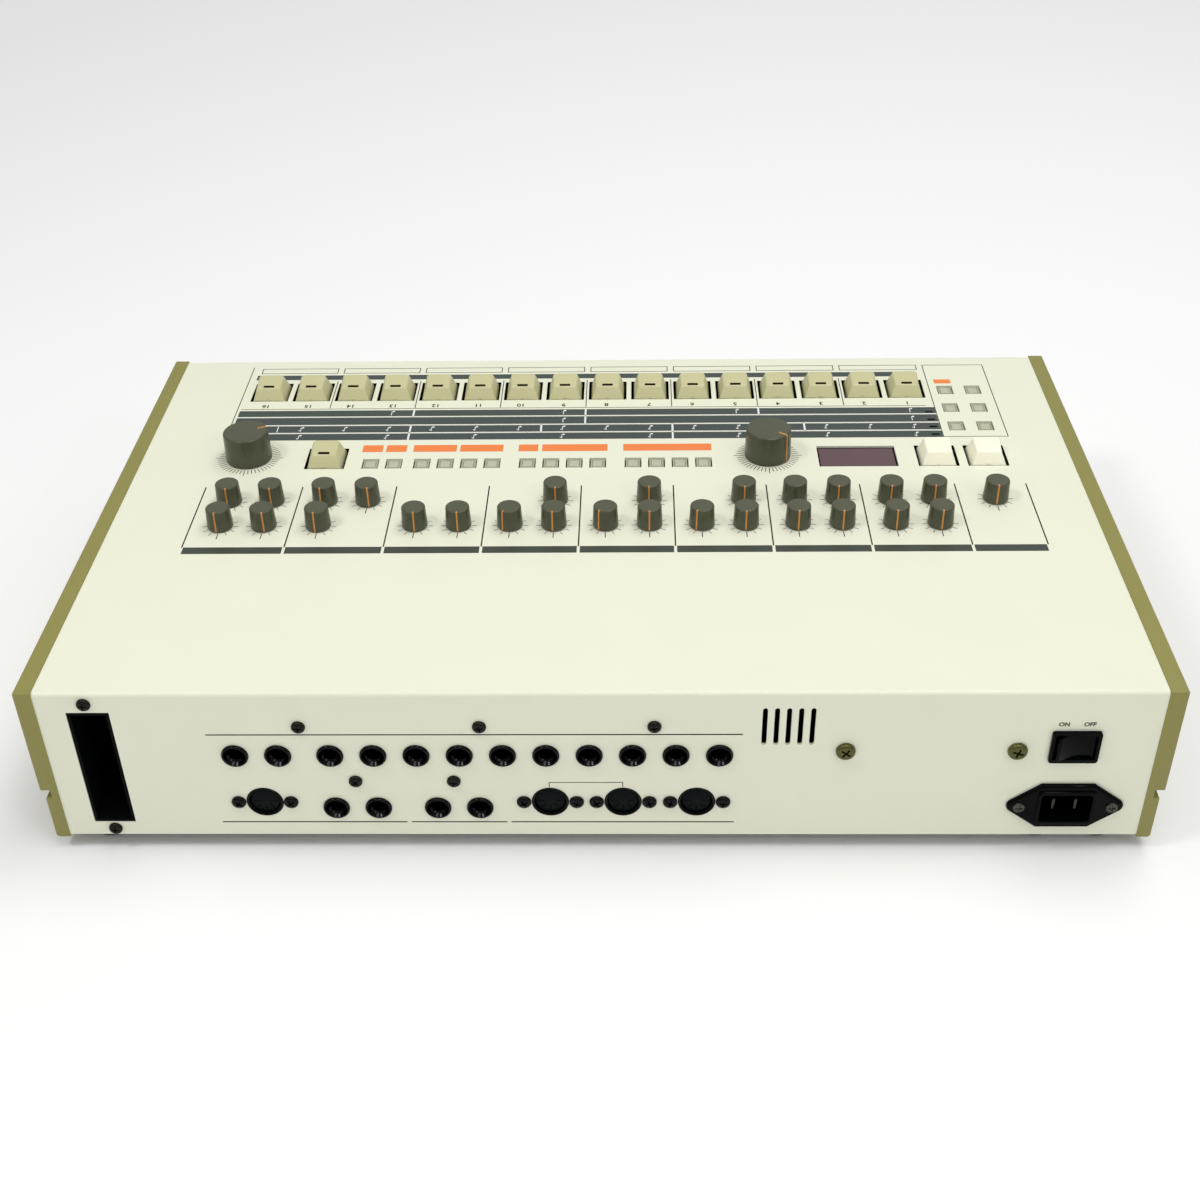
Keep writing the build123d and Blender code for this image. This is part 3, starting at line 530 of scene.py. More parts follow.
# %% Lathed shapes and soft blocks
def skinned(form, rounds, closed=False):
    """Joins each ring of vertices to the next by faces. A ring may be one vertex, as at a tip."""
    for low, high in zip(rounds, rounds[1:] + (rounds[:1] if closed else [])):
        sides = max(len(low), len(high))
        for k in range(sides):
            j = (k + 1) % sides
            corners = [low[k % len(low)], low[j % len(low)], high[j % len(high)], high[k % len(high)]]
            form.faces.new(list(dict.fromkeys(corners)))
    bmesh.ops.recalc_face_normals(form, faces=form.faces)


def lathed(name, profile, sides=32, ring=False):
    """A profile of (radius, height) in millimetres, spun about +Z. A ring's profile is closed."""
    form = bmesh.new()
    rounds = []
    for radius, height in profile:
        angles = [2 * math.pi * k / sides for k in range(sides if radius else 1)]
        rounds.append([
            form.verts.new((radius * MM * math.cos(a), radius * MM * math.sin(a), height * MM))
            for a in angles
        ])
    skinned(form, rounds, ring)
    return mesh_of(name, form)


def add_block(form, low, high, corner=0.0, edge=0.0):
    """Adds a block to a bmesh. Its upright edges round by corner, and its top ones by edge."""
    cube = bmesh.ops.create_cube(form, size=1)["verts"]
    middle = [(a + b) / 2 * MM for a, b in zip(low, high)]
    spans = [(b - a) * MM for a, b in zip(low, high)]
    for vertex in cube:
        vertex.co = Vector(m + c * s for m, c, s in zip(middle, vertex.co, spans))
    edges = dict.fromkeys(e for v in cube for e in v.link_edges)
    if corner:
        upright = [e for e in edges if abs(e.verts[0].co.z - e.verts[1].co.z) > 1e-7]
        made = bmesh.ops.bevel(form, geom=upright, offset=corner * MM, segments=3, profile=0.5,
                               affect="EDGES")
        kept = [e for e in edges if e.is_valid]
        edges = dict.fromkeys(kept + [e for v in made["verts"] for e in v.link_edges])
    if edge:
        top = [e for e in edges if all(abs(v.co.z - high[2] * MM) < 1e-7 for v in e.verts)]
        bmesh.ops.bevel(form, geom=top, offset=edge * MM, segments=2, profile=0.5, affect="EDGES")


# %% [markdown]
# ## The keys
# A key is a wedge: a straight skirt in its slot, four sloping sides and a crown that rises
# towards the player. The crown is narrower at its crest than at the player's end, where its corners
# are rounder. Twelve corners set the whole form, so we write them down and let two bevels do the
# rest. The lamp under a step key shows through a small brown lens in the crown, and the mould's
# gate leaves a nub at the foot of the rear face.

# %% One key
# Sizes are in millimetres, and a slope is how far its face leans in.
KEY_WIDTH, KEY_LENGTH, KEY_SKIRT = 17.6, 19.4, 4.5
CREST_Z, TOP_Z = 6.2, 8.0
CREST_WIDTH, TOP_WIDTH = 12.0, 13.4
REAR_SLOPE, FRONT_SLOPE = 3.0, 4.4
KEY_CORNER, KEY_EDGE, STEM_HALF, NUB_HALF = 2.0, 0.6, 2, 0.9
LENS_BACK, LENS_HALF_X, LENS_HALF_Y, LENS_PROUD = 1.5, 2.85, 0.9, 0.05
half_width, half_length = KEY_WIDTH / 2, KEY_LENGTH / 2
crest_y, far_y = half_length - REAR_SLOPE, FRONT_SLOPE - half_length


def key_shape(stem_bottom):
    """A key with its stem, with the panel's face at height 0."""
    form = bmesh.new()
    rows = (
        [(half_width, half_length, -KEY_SKIRT), (half_width, -half_length, -KEY_SKIRT)],
        [(half_width, half_length, 0), (half_width, -half_length, 0)],
        [(CREST_WIDTH / 2, crest_y, CREST_Z), (TOP_WIDTH / 2, far_y, TOP_Z)],
    )
    rounds = []
    for rear, front in rows:
        corners = [rear, front, (-front[0], *front[1:]), (-rear[0], *rear[1:])]
        rounds.append([form.verts.new(Vector(corner) * MM) for corner in corners])
    form.faces.new(rounds[0])
    form.faces.new(rounds[-1])
    skinned(form, rounds)
    player_end = [
        e for e in form.edges
        if all(v.co.y < 0 for v in e.verts) and abs(e.verts[0].co.z - e.verts[1].co.z) > 5 * MM
    ]
    bmesh.ops.bevel(form, geom=player_end, offset=KEY_CORNER * MM, segments=5, profile=0.5,
                    affect="EDGES")
    sharp = [
        e for e in form.edges
        if min(v.co.z for v in e.verts) > -1e-6 and e.calc_face_angle(0) > math.radians(25)
    ]
    bmesh.ops.bevel(form, geom=sharp, offset=KEY_EDGE * MM, segments=3, profile=0.5,
                    affect="EDGES")
    add_block(form, (-STEM_HALF, -STEM_HALF, stem_bottom), (STEM_HALF, STEM_HALF, -KEY_SKIRT))
    nub_low, nub_high = (-NUB_HALF, half_length - 1.2, 0.25), (NUB_HALF, half_length - 0.12, 1.05)
    add_block(form, nub_low, nub_high, 0.3)
    return mesh_of("key", form)


def lens_shape():
    """The lens, laid on the sloping crown with a hair of it standing proud."""
    form = bmesh.new()
    low, high = (-LENS_HALF_X, -LENS_HALF_Y, -0.8), (LENS_HALF_X, LENS_HALF_Y, LENS_PROUD)
    add_block(form, low, high, 0.2)
    lean = math.atan2(TOP_Z - CREST_Z, crest_y - far_y)
    height = CREST_Z + math.tan(lean) * LENS_BACK
    place = Matrix.Translation(Vector((0, crest_y - LENS_BACK, height)) * MM)
    form.transform(place @ Matrix.Rotation(-lean, 4, "X"))
    return mesh_of("lens", form)


# %% Lay the keys and their lenses
for node, boxes in key_boxes.items():
    places = middles(boxes, z=PANEL_Z)
    stem_bottom = (boxes[0][0].z - PANEL_Z) / MM
    plastic = SLOT_FINISH[slot_of[node]]
    keys = copies(node + "_skin", key_shape(stem_bottom), places, plastic)
    stand_for(keys, node, node)
    if node not in ("start_key", "stop_key"):
        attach(copies(node + "_lens", lens_shape(), places, lamp_plastic), node)

# %% [markdown]
# Beside each key is a narrow gap, and in it shows the dark housing that the key slides in. It is a
# thin black tube that lines the slot from just below the panel's face. Its black stands partly for
# the housing and partly for painted shade deep in the slot.

# %% The key housings, black also for the painted shade in the slots
HOUSING_WALL_X, HOUSING_WALL_Y, HOUSING_DEPTH = 0.35, 0.12, 10.5
SLOT_HALF_Y = 10.1
HOUSING_GAP, HOUSING_DROP = 0.01, 0.08


def housing_and_slot_shade_shape():
    """A black tube that lines a key's slot: the housing, and painted shade inside the slot."""
    form = bmesh.new()
    outer = (SLOT_HALF_X - HOUSING_GAP, SLOT_HALF_Y - HOUSING_GAP)
    inner = (outer[0] - HOUSING_WALL_X, outer[1] - HOUSING_WALL_Y)
    top, bottom = -HOUSING_DROP, -HOUSING_DROP - HOUSING_DEPTH
    rounds = []
    for (x, y), z in ((inner, top), (outer, top), (outer, bottom), (inner, bottom)):
        corners = ((x, y, z), (-x, y, z), (-x, -y, z), (x, -y, z))
        rounds.append([form.verts.new(Vector(corner) * MM) for corner in corners])
    skinned(form, rounds, closed=True)
    return mesh_of("housing", form)


all_keys = [place for boxes in key_boxes.values() for place in middles(boxes, z=PANEL_Z)]
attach(copies("key_housings", housing_and_slot_shade_shape(), all_keys, matt_black), "case")

# %% [markdown]
# ## The lamp buttons
# A button is a small cap that lies level with the panel. A clear lens is set into its top. Round
# the lens lies a thin dark ring, which is painted shade for the gap between lens and cap. Three
# blocks with rounded corners make it: the cap, the dark ring and the lens.

# %% The buttons
CAP_DEPTH, INSET_DEPTH, BUTTON_STEM_HALF, BUTTON_CORNER = 4.0, 0.3, 1.5, 0.6
for node in ("function_buttons", "bank_buttons"):
    boxes = solids_in(node)
    places = middles(boxes, z=PANEL_Z)
    low, high = boxes[0]
    wide, long = (high.x - low.x) / 2 / MM, (high.y - low.y) / 2 / MM
    top, foot = (high.z - PANEL_Z) / MM, (low.z - PANEL_Z) / MM
    form = bmesh.new()
    add_block(form, (-wide, -long, top - CAP_DEPTH), (wide, long, top), BUTTON_CORNER, 0.25)
    add_block(form, (-BUTTON_STEM_HALF, -BUTTON_STEM_HALF, foot),
              (BUTTON_STEM_HALF, BUTTON_STEM_HALF, top - CAP_DEPTH))
    caps = copies(node + "_caps", mesh_of("cap", form), places, button_frame_plastic)
    stand_for(caps, node, node)
    for name, plastic, half_x, half_y, proud, edge in (
        # The first inset is the dark ring of painted shade round the lens, the second is the lens.
        ("_gaps", button_gap_painted_shade, 2.75, 3.2, 0.02, 0),
        ("_lenses", button_lens_plastic, 2.5, 2.95, 0.12, 0.15),
    ):
        form = bmesh.new()
        low, high = (-half_x, -half_y, top - INSET_DEPTH), (half_x, half_y, top + proud)
        add_block(form, low, high, BUTTON_CORNER, edge)
        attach(copies(node + name, mesh_of("inset", form), places, plastic), node)

# %% [markdown]
# ## The knobs
# A knob is a tapered drum with a rounded rim and an orange pointer line that runs up its side and
# over the rim. We could spin a profile by hand for each of them. A tree suits them better, because
# all of them follow one rule: extrude a disc, shrink its top, and round the rim in a few small
# steps. The pointer is a flat strip that is swept along the same profile, a hair proud of it.

# %% The knob tree
knob_tree, add, sums, vector, size, result = new_tree("knob", {
    "Foot radius": float, "Crown radius": float, "Height": float, "Rim": float,
    "Sides": int, "Pointer angle": float, "Pointer width": float, "Pointer reach": float,
    "Shaft radius": float, "Shaft length": float,
})
RIM_STEPS = 4
disc = add(
    "MeshCircle", {"Vertices": size["Sides"], "Radius": size["Foot radius"]}, fill_type="NGON"
)
underside = add("FlipFaces", {"Mesh": disc})
drum, crown = disc, {}
radius = size["Foot radius"]
heights = [sums("SUBTRACT", size["Height"], size["Rim"])]
radii = [size["Crown radius"]]
for i in range(RIM_STEPS):
    low, high = (math.radians(90 * k / RIM_STEPS) for k in (i, i + 1))
    heights.append(sums("MULTIPLY", size["Rim"], math.sin(high) - math.sin(low)))
    drop = sums("MULTIPLY", size["Rim"], 1 - math.cos(high))
    radii.append(sums("SUBTRACT", size["Crown radius"], drop))
for height, next_radius in zip(heights, radii):
    grown = add(
        "ExtrudeMesh",
        {"Mesh": drum, "Offset Scale": height, "Individual": False, **crown},
        mode="FACES",
    )
    crown = {"Selection": grown.outputs["Top"]}
    drum = add(
        "ScaleElements",
        {"Geometry": grown, "Scale": sums("DIVIDE", next_radius, radius), **crown},
        domain="FACE",
    )
    radius = next_radius


def mark_faces(shape, name, **chosen):
    """Marks the chosen faces by a named attribute."""
    return add(
        "StoreNamedAttribute", {"Geometry": shape, "Name": name, "Value": True, **chosen},
        data_type="BOOLEAN", domain="FACE",
    )


closed = add("JoinGeometry", {"Geometry": [mark_faces(drum, "crown", **crown), underside]})
shell = add("MergeByDistance", {"Geometry": closed, "Distance": 0.001 * MM})
shaft = add(
    "MeshCylinder",
    {"Vertices": 20, "Radius": size["Shaft radius"], "Depth": size["Shaft length"]},
)
half_down = sums("MULTIPLY", size["Shaft length"], -0.5)
shaft_below = add("Transform", {"Geometry": shaft, "Translation": vector(0, 0, half_down)})

# %% [markdown]
# The pointer's path has three corners: the foot, the rim and a point on the crown. A fillet rounds
# the middle one to the knob's own rim. A named attribute marks the pointer's faces, and another
# the level crown, so that they get their own finish at the end of the tree, once all is real. The
# crown's finish is lighter than the side's, partly its own tone and partly painted light on the top.

# %% The pointer line on a knob
PROUD = 0.05 * MM
foot_out, crown_out, crown_up = (
    sums("ADD", size[name], PROUD / 2) for name in ("Foot radius", "Crown radius", "Height")
)
reach = sums("SUBTRACT", size["Crown radius"], size["Pointer reach"])
corner_places = (
    vector(foot_out, 0, 0), vector(crown_out, 0, crown_up), vector(reach, 0, crown_up)
)
corners = add("IndexSwitch", data_type="VECTOR")
corners.index_switch_items.new()
join(knob_tree, add("InputIndex"), corners.inputs["Index"])
for socket, place in zip(corners.inputs[1:], corner_places):
    join(knob_tree, place, socket)
path_points = add("SetPosition", {"Geometry": add("MeshLine", {"Count": 3}), "Position": corners})
path = add("MeshToCurve", {"Mesh": path_points})
rounded = add("FilletCurve", {"Curve": path, "Radius": size["Rim"], "Count": 5}, mode="POLY")
strip = add("CurvePrimitiveQuadrilateral", {"Width": size["Pointer width"], "Height": PROUD})
swept = add("CurveToMesh", {"Curve": rounded, "Profile Curve": strip, "Fill Caps": True})
aimed = add("Transform", {"Geometry": swept, "Rotation": vector(0, 0, size["Pointer angle"])})

# %% The end of the knob tree
whole_knob = add("JoinGeometry", {"Geometry": [mark_faces(aimed, "pointer"), shell, shaft_below]})
at_axis = add("InstanceOnPoints", {"Points": size["Geometry"], "Instance": whole_knob})
real = add("RealizeInstances", {"Geometry": at_axis})
painted = add("SetMaterial", {"Geometry": real, "Material": knob_plastic})
# The crown's lighter finish is partly painted light on the knob's top.
for mark, material in (("crown", knob_crown_plastic_painted_lighter), ("pointer", pointer_ink)):
    chosen = add("InputNamedAttribute", {"Name": mark}, data_type="BOOLEAN")
    painted = add(
        "SetMaterial", {"Geometry": painted, "Material": material, "Selection": chosen}
    )
join(knob_tree, painted, result)

# %% [markdown]
# Each knob has its own joint, so each is a piece of its own. Its axis comes from the joint, and its
# width and height from the node. Only the pointer angles are set here, in degrees clockwise from
# twelve o'clock as the player sees them.

# %% Where the pointers stand
POINTER_ANGLES = {
    "volume": -115, "tempo": -50, "accent": 4.9,
    "bass_tune": 2.3, "bass_level": 5.2, "bass_attack": 5.4, "bass_decay": 5.4,
    "snare_tune": 3.0, "snare_level": 2.8, "snare_tone": 5.0, "snare_snappy": 150.0,
    "low_tom_tune": 3.6, "low_tom_level": 27.0, "low_tom_decay": 0.0,
    "mid_tom_tune": 1.3, "mid_tom_level": 32.0, "mid_tom_decay": 1.8,
    "high_tom_tune": 3.7, "high_tom_level": 31.0, "high_tom_decay": -1.8,
    "rim_level": -1.0, "clap_level": -4.5, "hi_hat_level": 6.0,
    "closed_hat_decay": -11.6, "open_hat_decay": 10.0,
    "crash_level": -12.0, "ride_level": 6.5, "crash_tune": -8.0, "ride_tune": -3.6,
}

# %% Make every knob
SHAFT_RADIUS = 3.0 * MM
foot_z = PANEL_Z + 1.0 * MM
LARGE = ("volume_knob", "tempo_knob")
# The number of sides, then how far the crown stands in, the rim's radius, and the pointer's width
# and reach over the crown, in millimetres.
SMALL_STYLE = (56, 0.5, 0.55, 0.75, 1.0)
LARGE_STYLE = (96, 0.4, 0.9, 0.95, 5.0)
knob_axis = {
    joint["child"]: Vector(joint["pos_m"])
    for joint in frame["joints"] if joint["name"].endswith("_turn")
}
for name, axis in knob_axis.items():
    sides, inset, rim, width, reach = LARGE_STYLE if name in LARGE else SMALL_STYLE
    low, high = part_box(name)
    foot_radius = (high.x - low.x) / 2
    knob = grow(name + "_dressed", knob_tree, [(axis.x, axis.y, foot_z)], {
        "Foot radius": foot_radius,
        "Crown radius": foot_radius - inset * MM,
        "Height": high.z - foot_z - PROUD,
        "Rim": rim * MM,
        "Sides": sides,
        "Pointer angle": math.radians(90 - POINTER_ANGLES[name.removesuffix("_knob")]),
        "Pointer width": width * MM,
        "Pointer reach": reach * MM,
        "Shaft radius": SHAFT_RADIUS,
        "Shaft length": foot_z - low.z,
    })
    smooth_but_sharp(knob.data, 40)
    stand_for(knob, name, name)
print("knobs", len(knob_axis))

# %% [markdown]
# ## The scales round the knobs
# Fine radial ticks are printed round every knob. A small scale has two longer ones side by side at
# twelve o'clock, which read as one bold tick, and a large scale has one there and at either side.
# A tick is a tiny rectangle. The tree copies it round a fan, and copies the fan to every knob.

# %% The scale tree
scale_tree, add, sums, vector, size, result = new_tree("knob scale", {
    "Ticks": int, "Inner radius": float, "Tick length": float,
    "Long ticks": int, "Long sweep": float, "Long length": float, "Line width": float,
})


def tick(length):
    """One printed tick, standing away from the middle of the scale."""
    patch = add(
        "MeshGrid",
        {"Size X": size["Line width"], "Size Y": length, "Vertices X": 2, "Vertices Y": 2},
    )
    away = sums("ADD", size["Inner radius"], sums("MULTIPLY", length, 0.5))
    return add("Transform", {"Geometry": patch, "Translation": vector(0, away, 0)})


def fan(count, sweep, length):
    """Ticks spread evenly over the sweep, about twelve o'clock."""
    share = sums("DIVIDE", add("InputIndex"), sums("SUBTRACT", count, 1.0))
    angle = sums("MULTIPLY", sums("SUBTRACT", share, 0.5), sweep)
    points = add("Points", {"Count": count})
    return add(
        "InstanceOnPoints",
        {"Points": points, "Instance": tick(length), "Rotation": vector(0, 0, angle)},
    )


SWEEP = math.radians(300)
scale = add("JoinGeometry", {"Geometry": [
    fan(size["Ticks"], SWEEP, size["Tick length"]),
    fan(size["Long ticks"], size["Long sweep"], size["Long length"]),
]})
at_knobs = add("InstanceOnPoints", {"Points": size["Geometry"], "Instance": scale})
real = add("RealizeInstances", {"Geometry": at_knobs})
inked = add("SetMaterial", {"Geometry": real, "Material": dark_ink})
join(scale_tree, inked, result)

# %% Print the scales
PRINT = 0.04 * MM


def on_panel(x, y):
    """A place on the panel's face, just proud of the paint."""
    return Vector((x, y, PANEL_Z + PRINT))


def print_scales(name, knobs, sizes):
    """Prints a scale round each of these knobs."""
    places = [on_panel(knob_axis[knob].x, knob_axis[knob].y) for knob in knobs]
    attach(grow(name, scale_tree, places, sizes), "case")


print_scales("small_knob_scales", [knob for knob in knob_axis if knob not in LARGE], {
    "Ticks": 11, "Inner radius": 6.25 * MM, "Tick length": 2.4 * MM,
    "Long ticks": 2, "Long sweep": 0.014, "Long length": 4.4 * MM, "Line width": 0.30 * MM,
})
print_scales("large_knob_scales", LARGE, {
    "Ticks": 41, "Inner radius": 12.1 * MM, "Tick length": 3.7 * MM, "Long ticks": 3,
    "Long sweep": math.radians(180), "Long length": 5.2 * MM, "Line width": 0.36 * MM,
})

# %% [markdown]
# ## Printed lines, frames and bars
# The panel is screen printed. Each printed area is a thin patch that lies just above the paint, so
# it stays crisp at any zoom. Lines are long thin rectangles, so one helper makes them all.

# %% Helpers for prints
def box_shape(u0, v0, u1, v1):
    """The four corners of a rectangle."""
    return [(u0, v0), (u1, v0), (u1, v1), (u0, v1)]


def line_between(u0, v0, u1, v1, width):
    """A level or upright line as a rectangle."""
    half = width / 2
    return box_shape(
        min(u0, u1) - half, min(v0, v1) - half, max(u0, u1) + half, max(v0, v1) + half
    )


def frame_round(u0, v0, u1, v1, width):
    """The four lines of a rectangular frame."""
    return [line_between(u0, v0, u1, v0, width), line_between(u0, v1, u1, v1, width),
            line_between(u0, v0, u0, v1, width), line_between(u1, v0, u1, v1, width)]


def on_top(x, y, lift):
    """Turns (x, y) in millimetres into a place on the panel."""
    return x * MM, y * MM, PANEL_Z + PRINT + lift * MM


def on_rear(u, z, lift):
    """Turns (-x, z) in millimetres into a place on the rear panel, seen from behind."""
    return -u * MM, REAR_Y + PRINT + lift * MM, z * MM


def print_shapes(name, shapes, ink, lift=0.0, place=on_top):
    """Prints flat shapes in one ink on the case. Each is a list of (u, v) in millimetres."""
    corners, faces = [], []
    for shape in shapes:
        faces.append(tuple(range(len(corners), len(corners) + len(shape))))
        corners += [place(u, v, lift) for u, v in shape]
    mesh = bpy.data.meshes.new(name)
    mesh.from_pydata(corners, [], faces)
    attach(new_piece(name, mesh, ink), "case")
    print(name, len(faces))


# %% Lines on the panel
THIN, SECTION_LINE, BEAT_LINE = 0.45, 0.65, 1.0
steps = [x / MM for x in step_x]
pitch = STEP_PITCH / MM


def after_step(n):
    """Halfway between step n and the next one."""
    return steps[n - 1] + pitch / 2


PAIR_LOW, PAIR_HIGH = -125.0, -95.2
panel_lines = [
    line_between(after_step(n), PAIR_LOW, after_step(n), PAIR_HIGH, THIN) for n in range(2, 16, 2)
]
panel_lines.append(line_between(197.6, -141.8, 197.6, -61.0, THIN))
panel_lines.append(line_between(-171.0, -94.2, 195.5, -94.2, THIN))
PAIR_BOX_HALF, PAIR_BOX_LOW, PAIR_BOX_HIGH = 21.2, -140.2, -134.8
for left, right in zip(steps[0::2], steps[1::2]):
    middle = (left + right) / 2
    panel_lines += frame_round(
        middle - PAIR_BOX_HALF, PAIR_BOX_LOW, middle + PAIR_BOX_HALF, PAIR_BOX_HIGH, THIN
    )
panel_lines += frame_round(-208.7, -140.0, -175.6, -61.4, THIN)
SECTION_X = (-208.6, -173.6, -127.0, -81.0, -35.2, 10.3, 56.0, 102.1, 149.0, 197.5)
SECTION_LOW, SECTION_HIGH = -15.0, 38.0
panel_lines += [line_between(x, SECTION_LOW, x, SECTION_HIGH, SECTION_LINE) for x in SECTION_X]
print_shapes("panel_lines", panel_lines, dark_ink)

# %% [markdown]
# Four dark bars show how the steps divide into beats. Each has its own marks: the first and second
# have a note every four and eight steps, the third one per step in groups of three, and the fourth
# one for every second step, in groups of six steps. A strip in the same ink runs along the player's
# side of the keys.

# %% The beat bars
BAR_LEFT, BAR_RIGHT = -175.3, 196.0
BAR_ROWS = ((-92.4, -86.0), (-84.7, -77.1), (-75.8, -68.9), (-67.6, -61.0))
bars = [box_shape(BAR_LEFT, low, BAR_RIGHT, high) for low, high in BAR_ROWS]
bars.append(box_shape(BAR_LEFT + 4, -132.4, BAR_RIGHT - 2.2, -127.2))
print_shapes("beat_bars", bars, bar_ink)
STRIP_INSET, STRIP_LOW, STRIP_HIGH = 0.7, 38.2, 43.7
section_bars = [
    box_shape(left + STRIP_INSET, STRIP_LOW, right - STRIP_INSET, STRIP_HIGH)
    for left, right in zip(SECTION_X, SECTION_X[1:])
]
print_shapes("section_bars", section_bars, strip_ink)
row_gaps = [(row[1] + next_row[0]) / 2 for row, next_row in zip(BAR_ROWS, BAR_ROWS[1:])]
marks = [line_between(BAR_LEFT, y, BAR_RIGHT, y, 0.7) for y in row_gaps]
for (low, high), group in zip(BAR_ROWS, (4, 8, 3, 6)):
    for x in map(after_step, range(group, 13, group)):
        marks.append(line_between(x, low - 0.2, x, high + 0.2, BEAT_LINE))
marks.append(line_between(172.0, -75.0, 172.0, -69.7, 0.5))

# %% [markdown]
# A note mark is small: a tilted oval head, a stem at its right, and on the faster rows a flag.

# %% Note marks in the bars
HEAD_POINTS, HEAD_HALF_X, HEAD_HALF_Y, HEAD_TILT = 10, 0.8, 0.7, 0.3
HEAD_LEFT, HEAD_DOWN, STEM_UP = 0.45, 1.7, 2.4


def note_shapes(x, y, flagged):
    """A note about (x, y): head and stem, and a flag if asked."""
    head = []
    for k in range(HEAD_POINTS):
        a = 2 * math.pi * k / HEAD_POINTS
        across, up = HEAD_HALF_X * math.cos(a), HEAD_HALF_Y * math.sin(a)
        head.append((x - HEAD_LEFT + across, y - HEAD_DOWN + up + HEAD_TILT * across))
    stem = box_shape(x + 0.1, y - HEAD_DOWN, x + 0.5, y + STEM_UP)
    flag = [(x + 0.3, y + STEM_UP), (x + 0.3, y + 1.7), (x + 1.2, y + 0.7), (x + 1.4, y + 1.2)]
    return [head, stem, flag] if flagged else [head, stem]


for y, noted_steps, flagged in (
    (-89.3, range(1, 17, 4), False), (-80.8, range(1, 17, 8), False),
    (-72.4, range(1, 16), True), (-64.1, range(1, 17, 2), True),
):
    for n in noted_steps:
        marks += note_shapes(steps[n - 1], y, flagged)
print_shapes("beat_marks", marks, white_ink, 0.02)
ends = [box_shape(-173.8, y - 0.8, -169.8, y + 0.8) for y in (-87.2, -79.3, -71.8, -63.9)]
print_shapes("bar_ends", ends, matt_black, 0.03)

# %% Orange patches
ORANGE_LOW, ORANGE_HIGH = -55.6, -48.8
ORANGE = [(-55.4, -10.2), (-2.1, 31.5), (33.5, 43.6), (51.5, 73.7), (75.5, 97.8),
          (101.3, 111.9), (113.6, 124.1)]
orange = [box_shape(left, ORANGE_LOW, right, ORANGE_HIGH) for left, right in ORANGE]
orange.append(box_shape(-188.3, -123.2, -179.3, -118.7))
print_shapes("orange_patches", orange, orange_ink)

# %% [markdown]
# ## Lines on the rear
# Thin lines group the sockets. Seen from behind, the reading direction is along -X, so the helper
# takes -x as its first number.

# %% Lines on the rear panel
RULE, BRACKET = 0.6, 0.35
rear_lines = [line_between(*ends) for ends in (
    (-165.9, 66.5, 61.3, 66.5, RULE), (-166.2, 16.0, -84.8, 16.0, RULE),
    (-82.3, 16.0, -40.6, 16.0, RULE), (-38.2, 16.0, 59.1, 16.0, RULE),
    (-21.1, 39.3, 10.7, 39.3, BRACKET), (-21.1, 36.8, -21.1, 39.3, BRACKET),
    (10.7, 36.8, 10.7, 39.3, BRACKET),
)]
print_shapes("rear_lines", rear_lines, dark_ink, place=on_rear)

# %% [markdown]
# ## Numbers
# Text starts as a font curve. It becomes a mesh before it is laid in place, and all the numbers of
# one print are joined into one piece.

# %% Lay text as a print
CAPITAL_SHARE = 0.72    # a capital's height, as a share of the font's size
BOLDER = 0.10           # how far each outline is set out, in millimetres


def mesh_of_curve(curve):
    """The mesh that a curve or a text makes."""
    holder = in_scene(curve.name, curve)
    mesh = final_mesh(holder)
    bpy.data.objects.remove(holder)
    return mesh


def text_mesh(words, height):
    """Flat letters of this height in millimetres, centred on the origin."""
    curve = bpy.data.curves.new("text", "FONT")
    curve.body = words
    curve.size = height * MM / CAPITAL_SHARE
    curve.align_x = "CENTER"
    curve.align_y = "CENTER"
    curve.offset = BOLDER * MM
    return mesh_of_curve(curve)


def print_words(name, entries, ink):
    """Joins several words, each with the matrix that lays it in place, into one printed piece."""
    whole = bmesh.new()
    for words, height, place in entries:
        mesh = text_mesh(words, height)
        mesh.transform(place)
        whole.from_mesh(mesh)
    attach(new_piece(name, mesh_of(name, whole), ink), "case")


FACING_REAR = turn(180, "Z") @ turn(90, "X")
STEP_NUMBER_HEIGHT, STEP_NUMBER_Y = 3.2, -97.4 * MM
SWITCH_WORD_HEIGHT, SWITCH_WORD_Z = 2.1, 71.7 * MM
print_words("step_numbers", [
    (str(i + 1), STEP_NUMBER_HEIGHT, Matrix.Translation(on_panel(x + 0.5 * MM, STEP_NUMBER_Y)))
    for i, x in enumerate(step_x)
], dark_ink)
print_words("switch_words", [
    (words, SWITCH_WORD_HEIGHT,
     Matrix.Translation((x * MM, REAR_Y + PRINT, SWITCH_WORD_Z)) @ FACING_REAR)
    for words, x in (("ON", -195.3), ("OFF", -206.0))
], dark_ink)

# %% [markdown]
# ## The phone jacks
# Outside the panel each jack shows a turned black nut with a smooth funnel into its bore. The node
# has a plain many-sided collar there. We keep the rest of the node, press that collar back behind
# the panel, and lay a lathed ring on every jack.

# %% Jack bodies and their collars
form = joined_form("phone_jacks")
BEHIND_PANEL = REAR_Y - 1.7 * MM
for vertex in form.verts:
    vertex.co.y = min(vertex.co.y, BEHIND_PANEL)
jack_bodies = new_piece("phone_jack_bodies", mesh_of("phone_jack_bodies", form), black_plastic)
stand_for(jack_bodies, "phone_jacks", "case")
COLLAR = [(5.85, 0.0), (5.85, 0.55), (5.75, 0.9), (5.5, 1.2), (5.2, 1.35), (4.95, 1.3),
          (4.75, 1.05), (4.5, 0.5), (4.15, -0.1), (3.75, -0.65), (3.3, -1.1), (3.25, -1.6),
          (4.6, -1.6), (4.6, 0.0)]
jack_places = middles(solids_in("phone_jacks"), y=REAR_Y)
collars = copies("jack_collars", lathed("collar", COLLAR, 36, ring=True), jack_places,
                 glossy_black, OUT_OF_REAR)
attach(collars, "case")
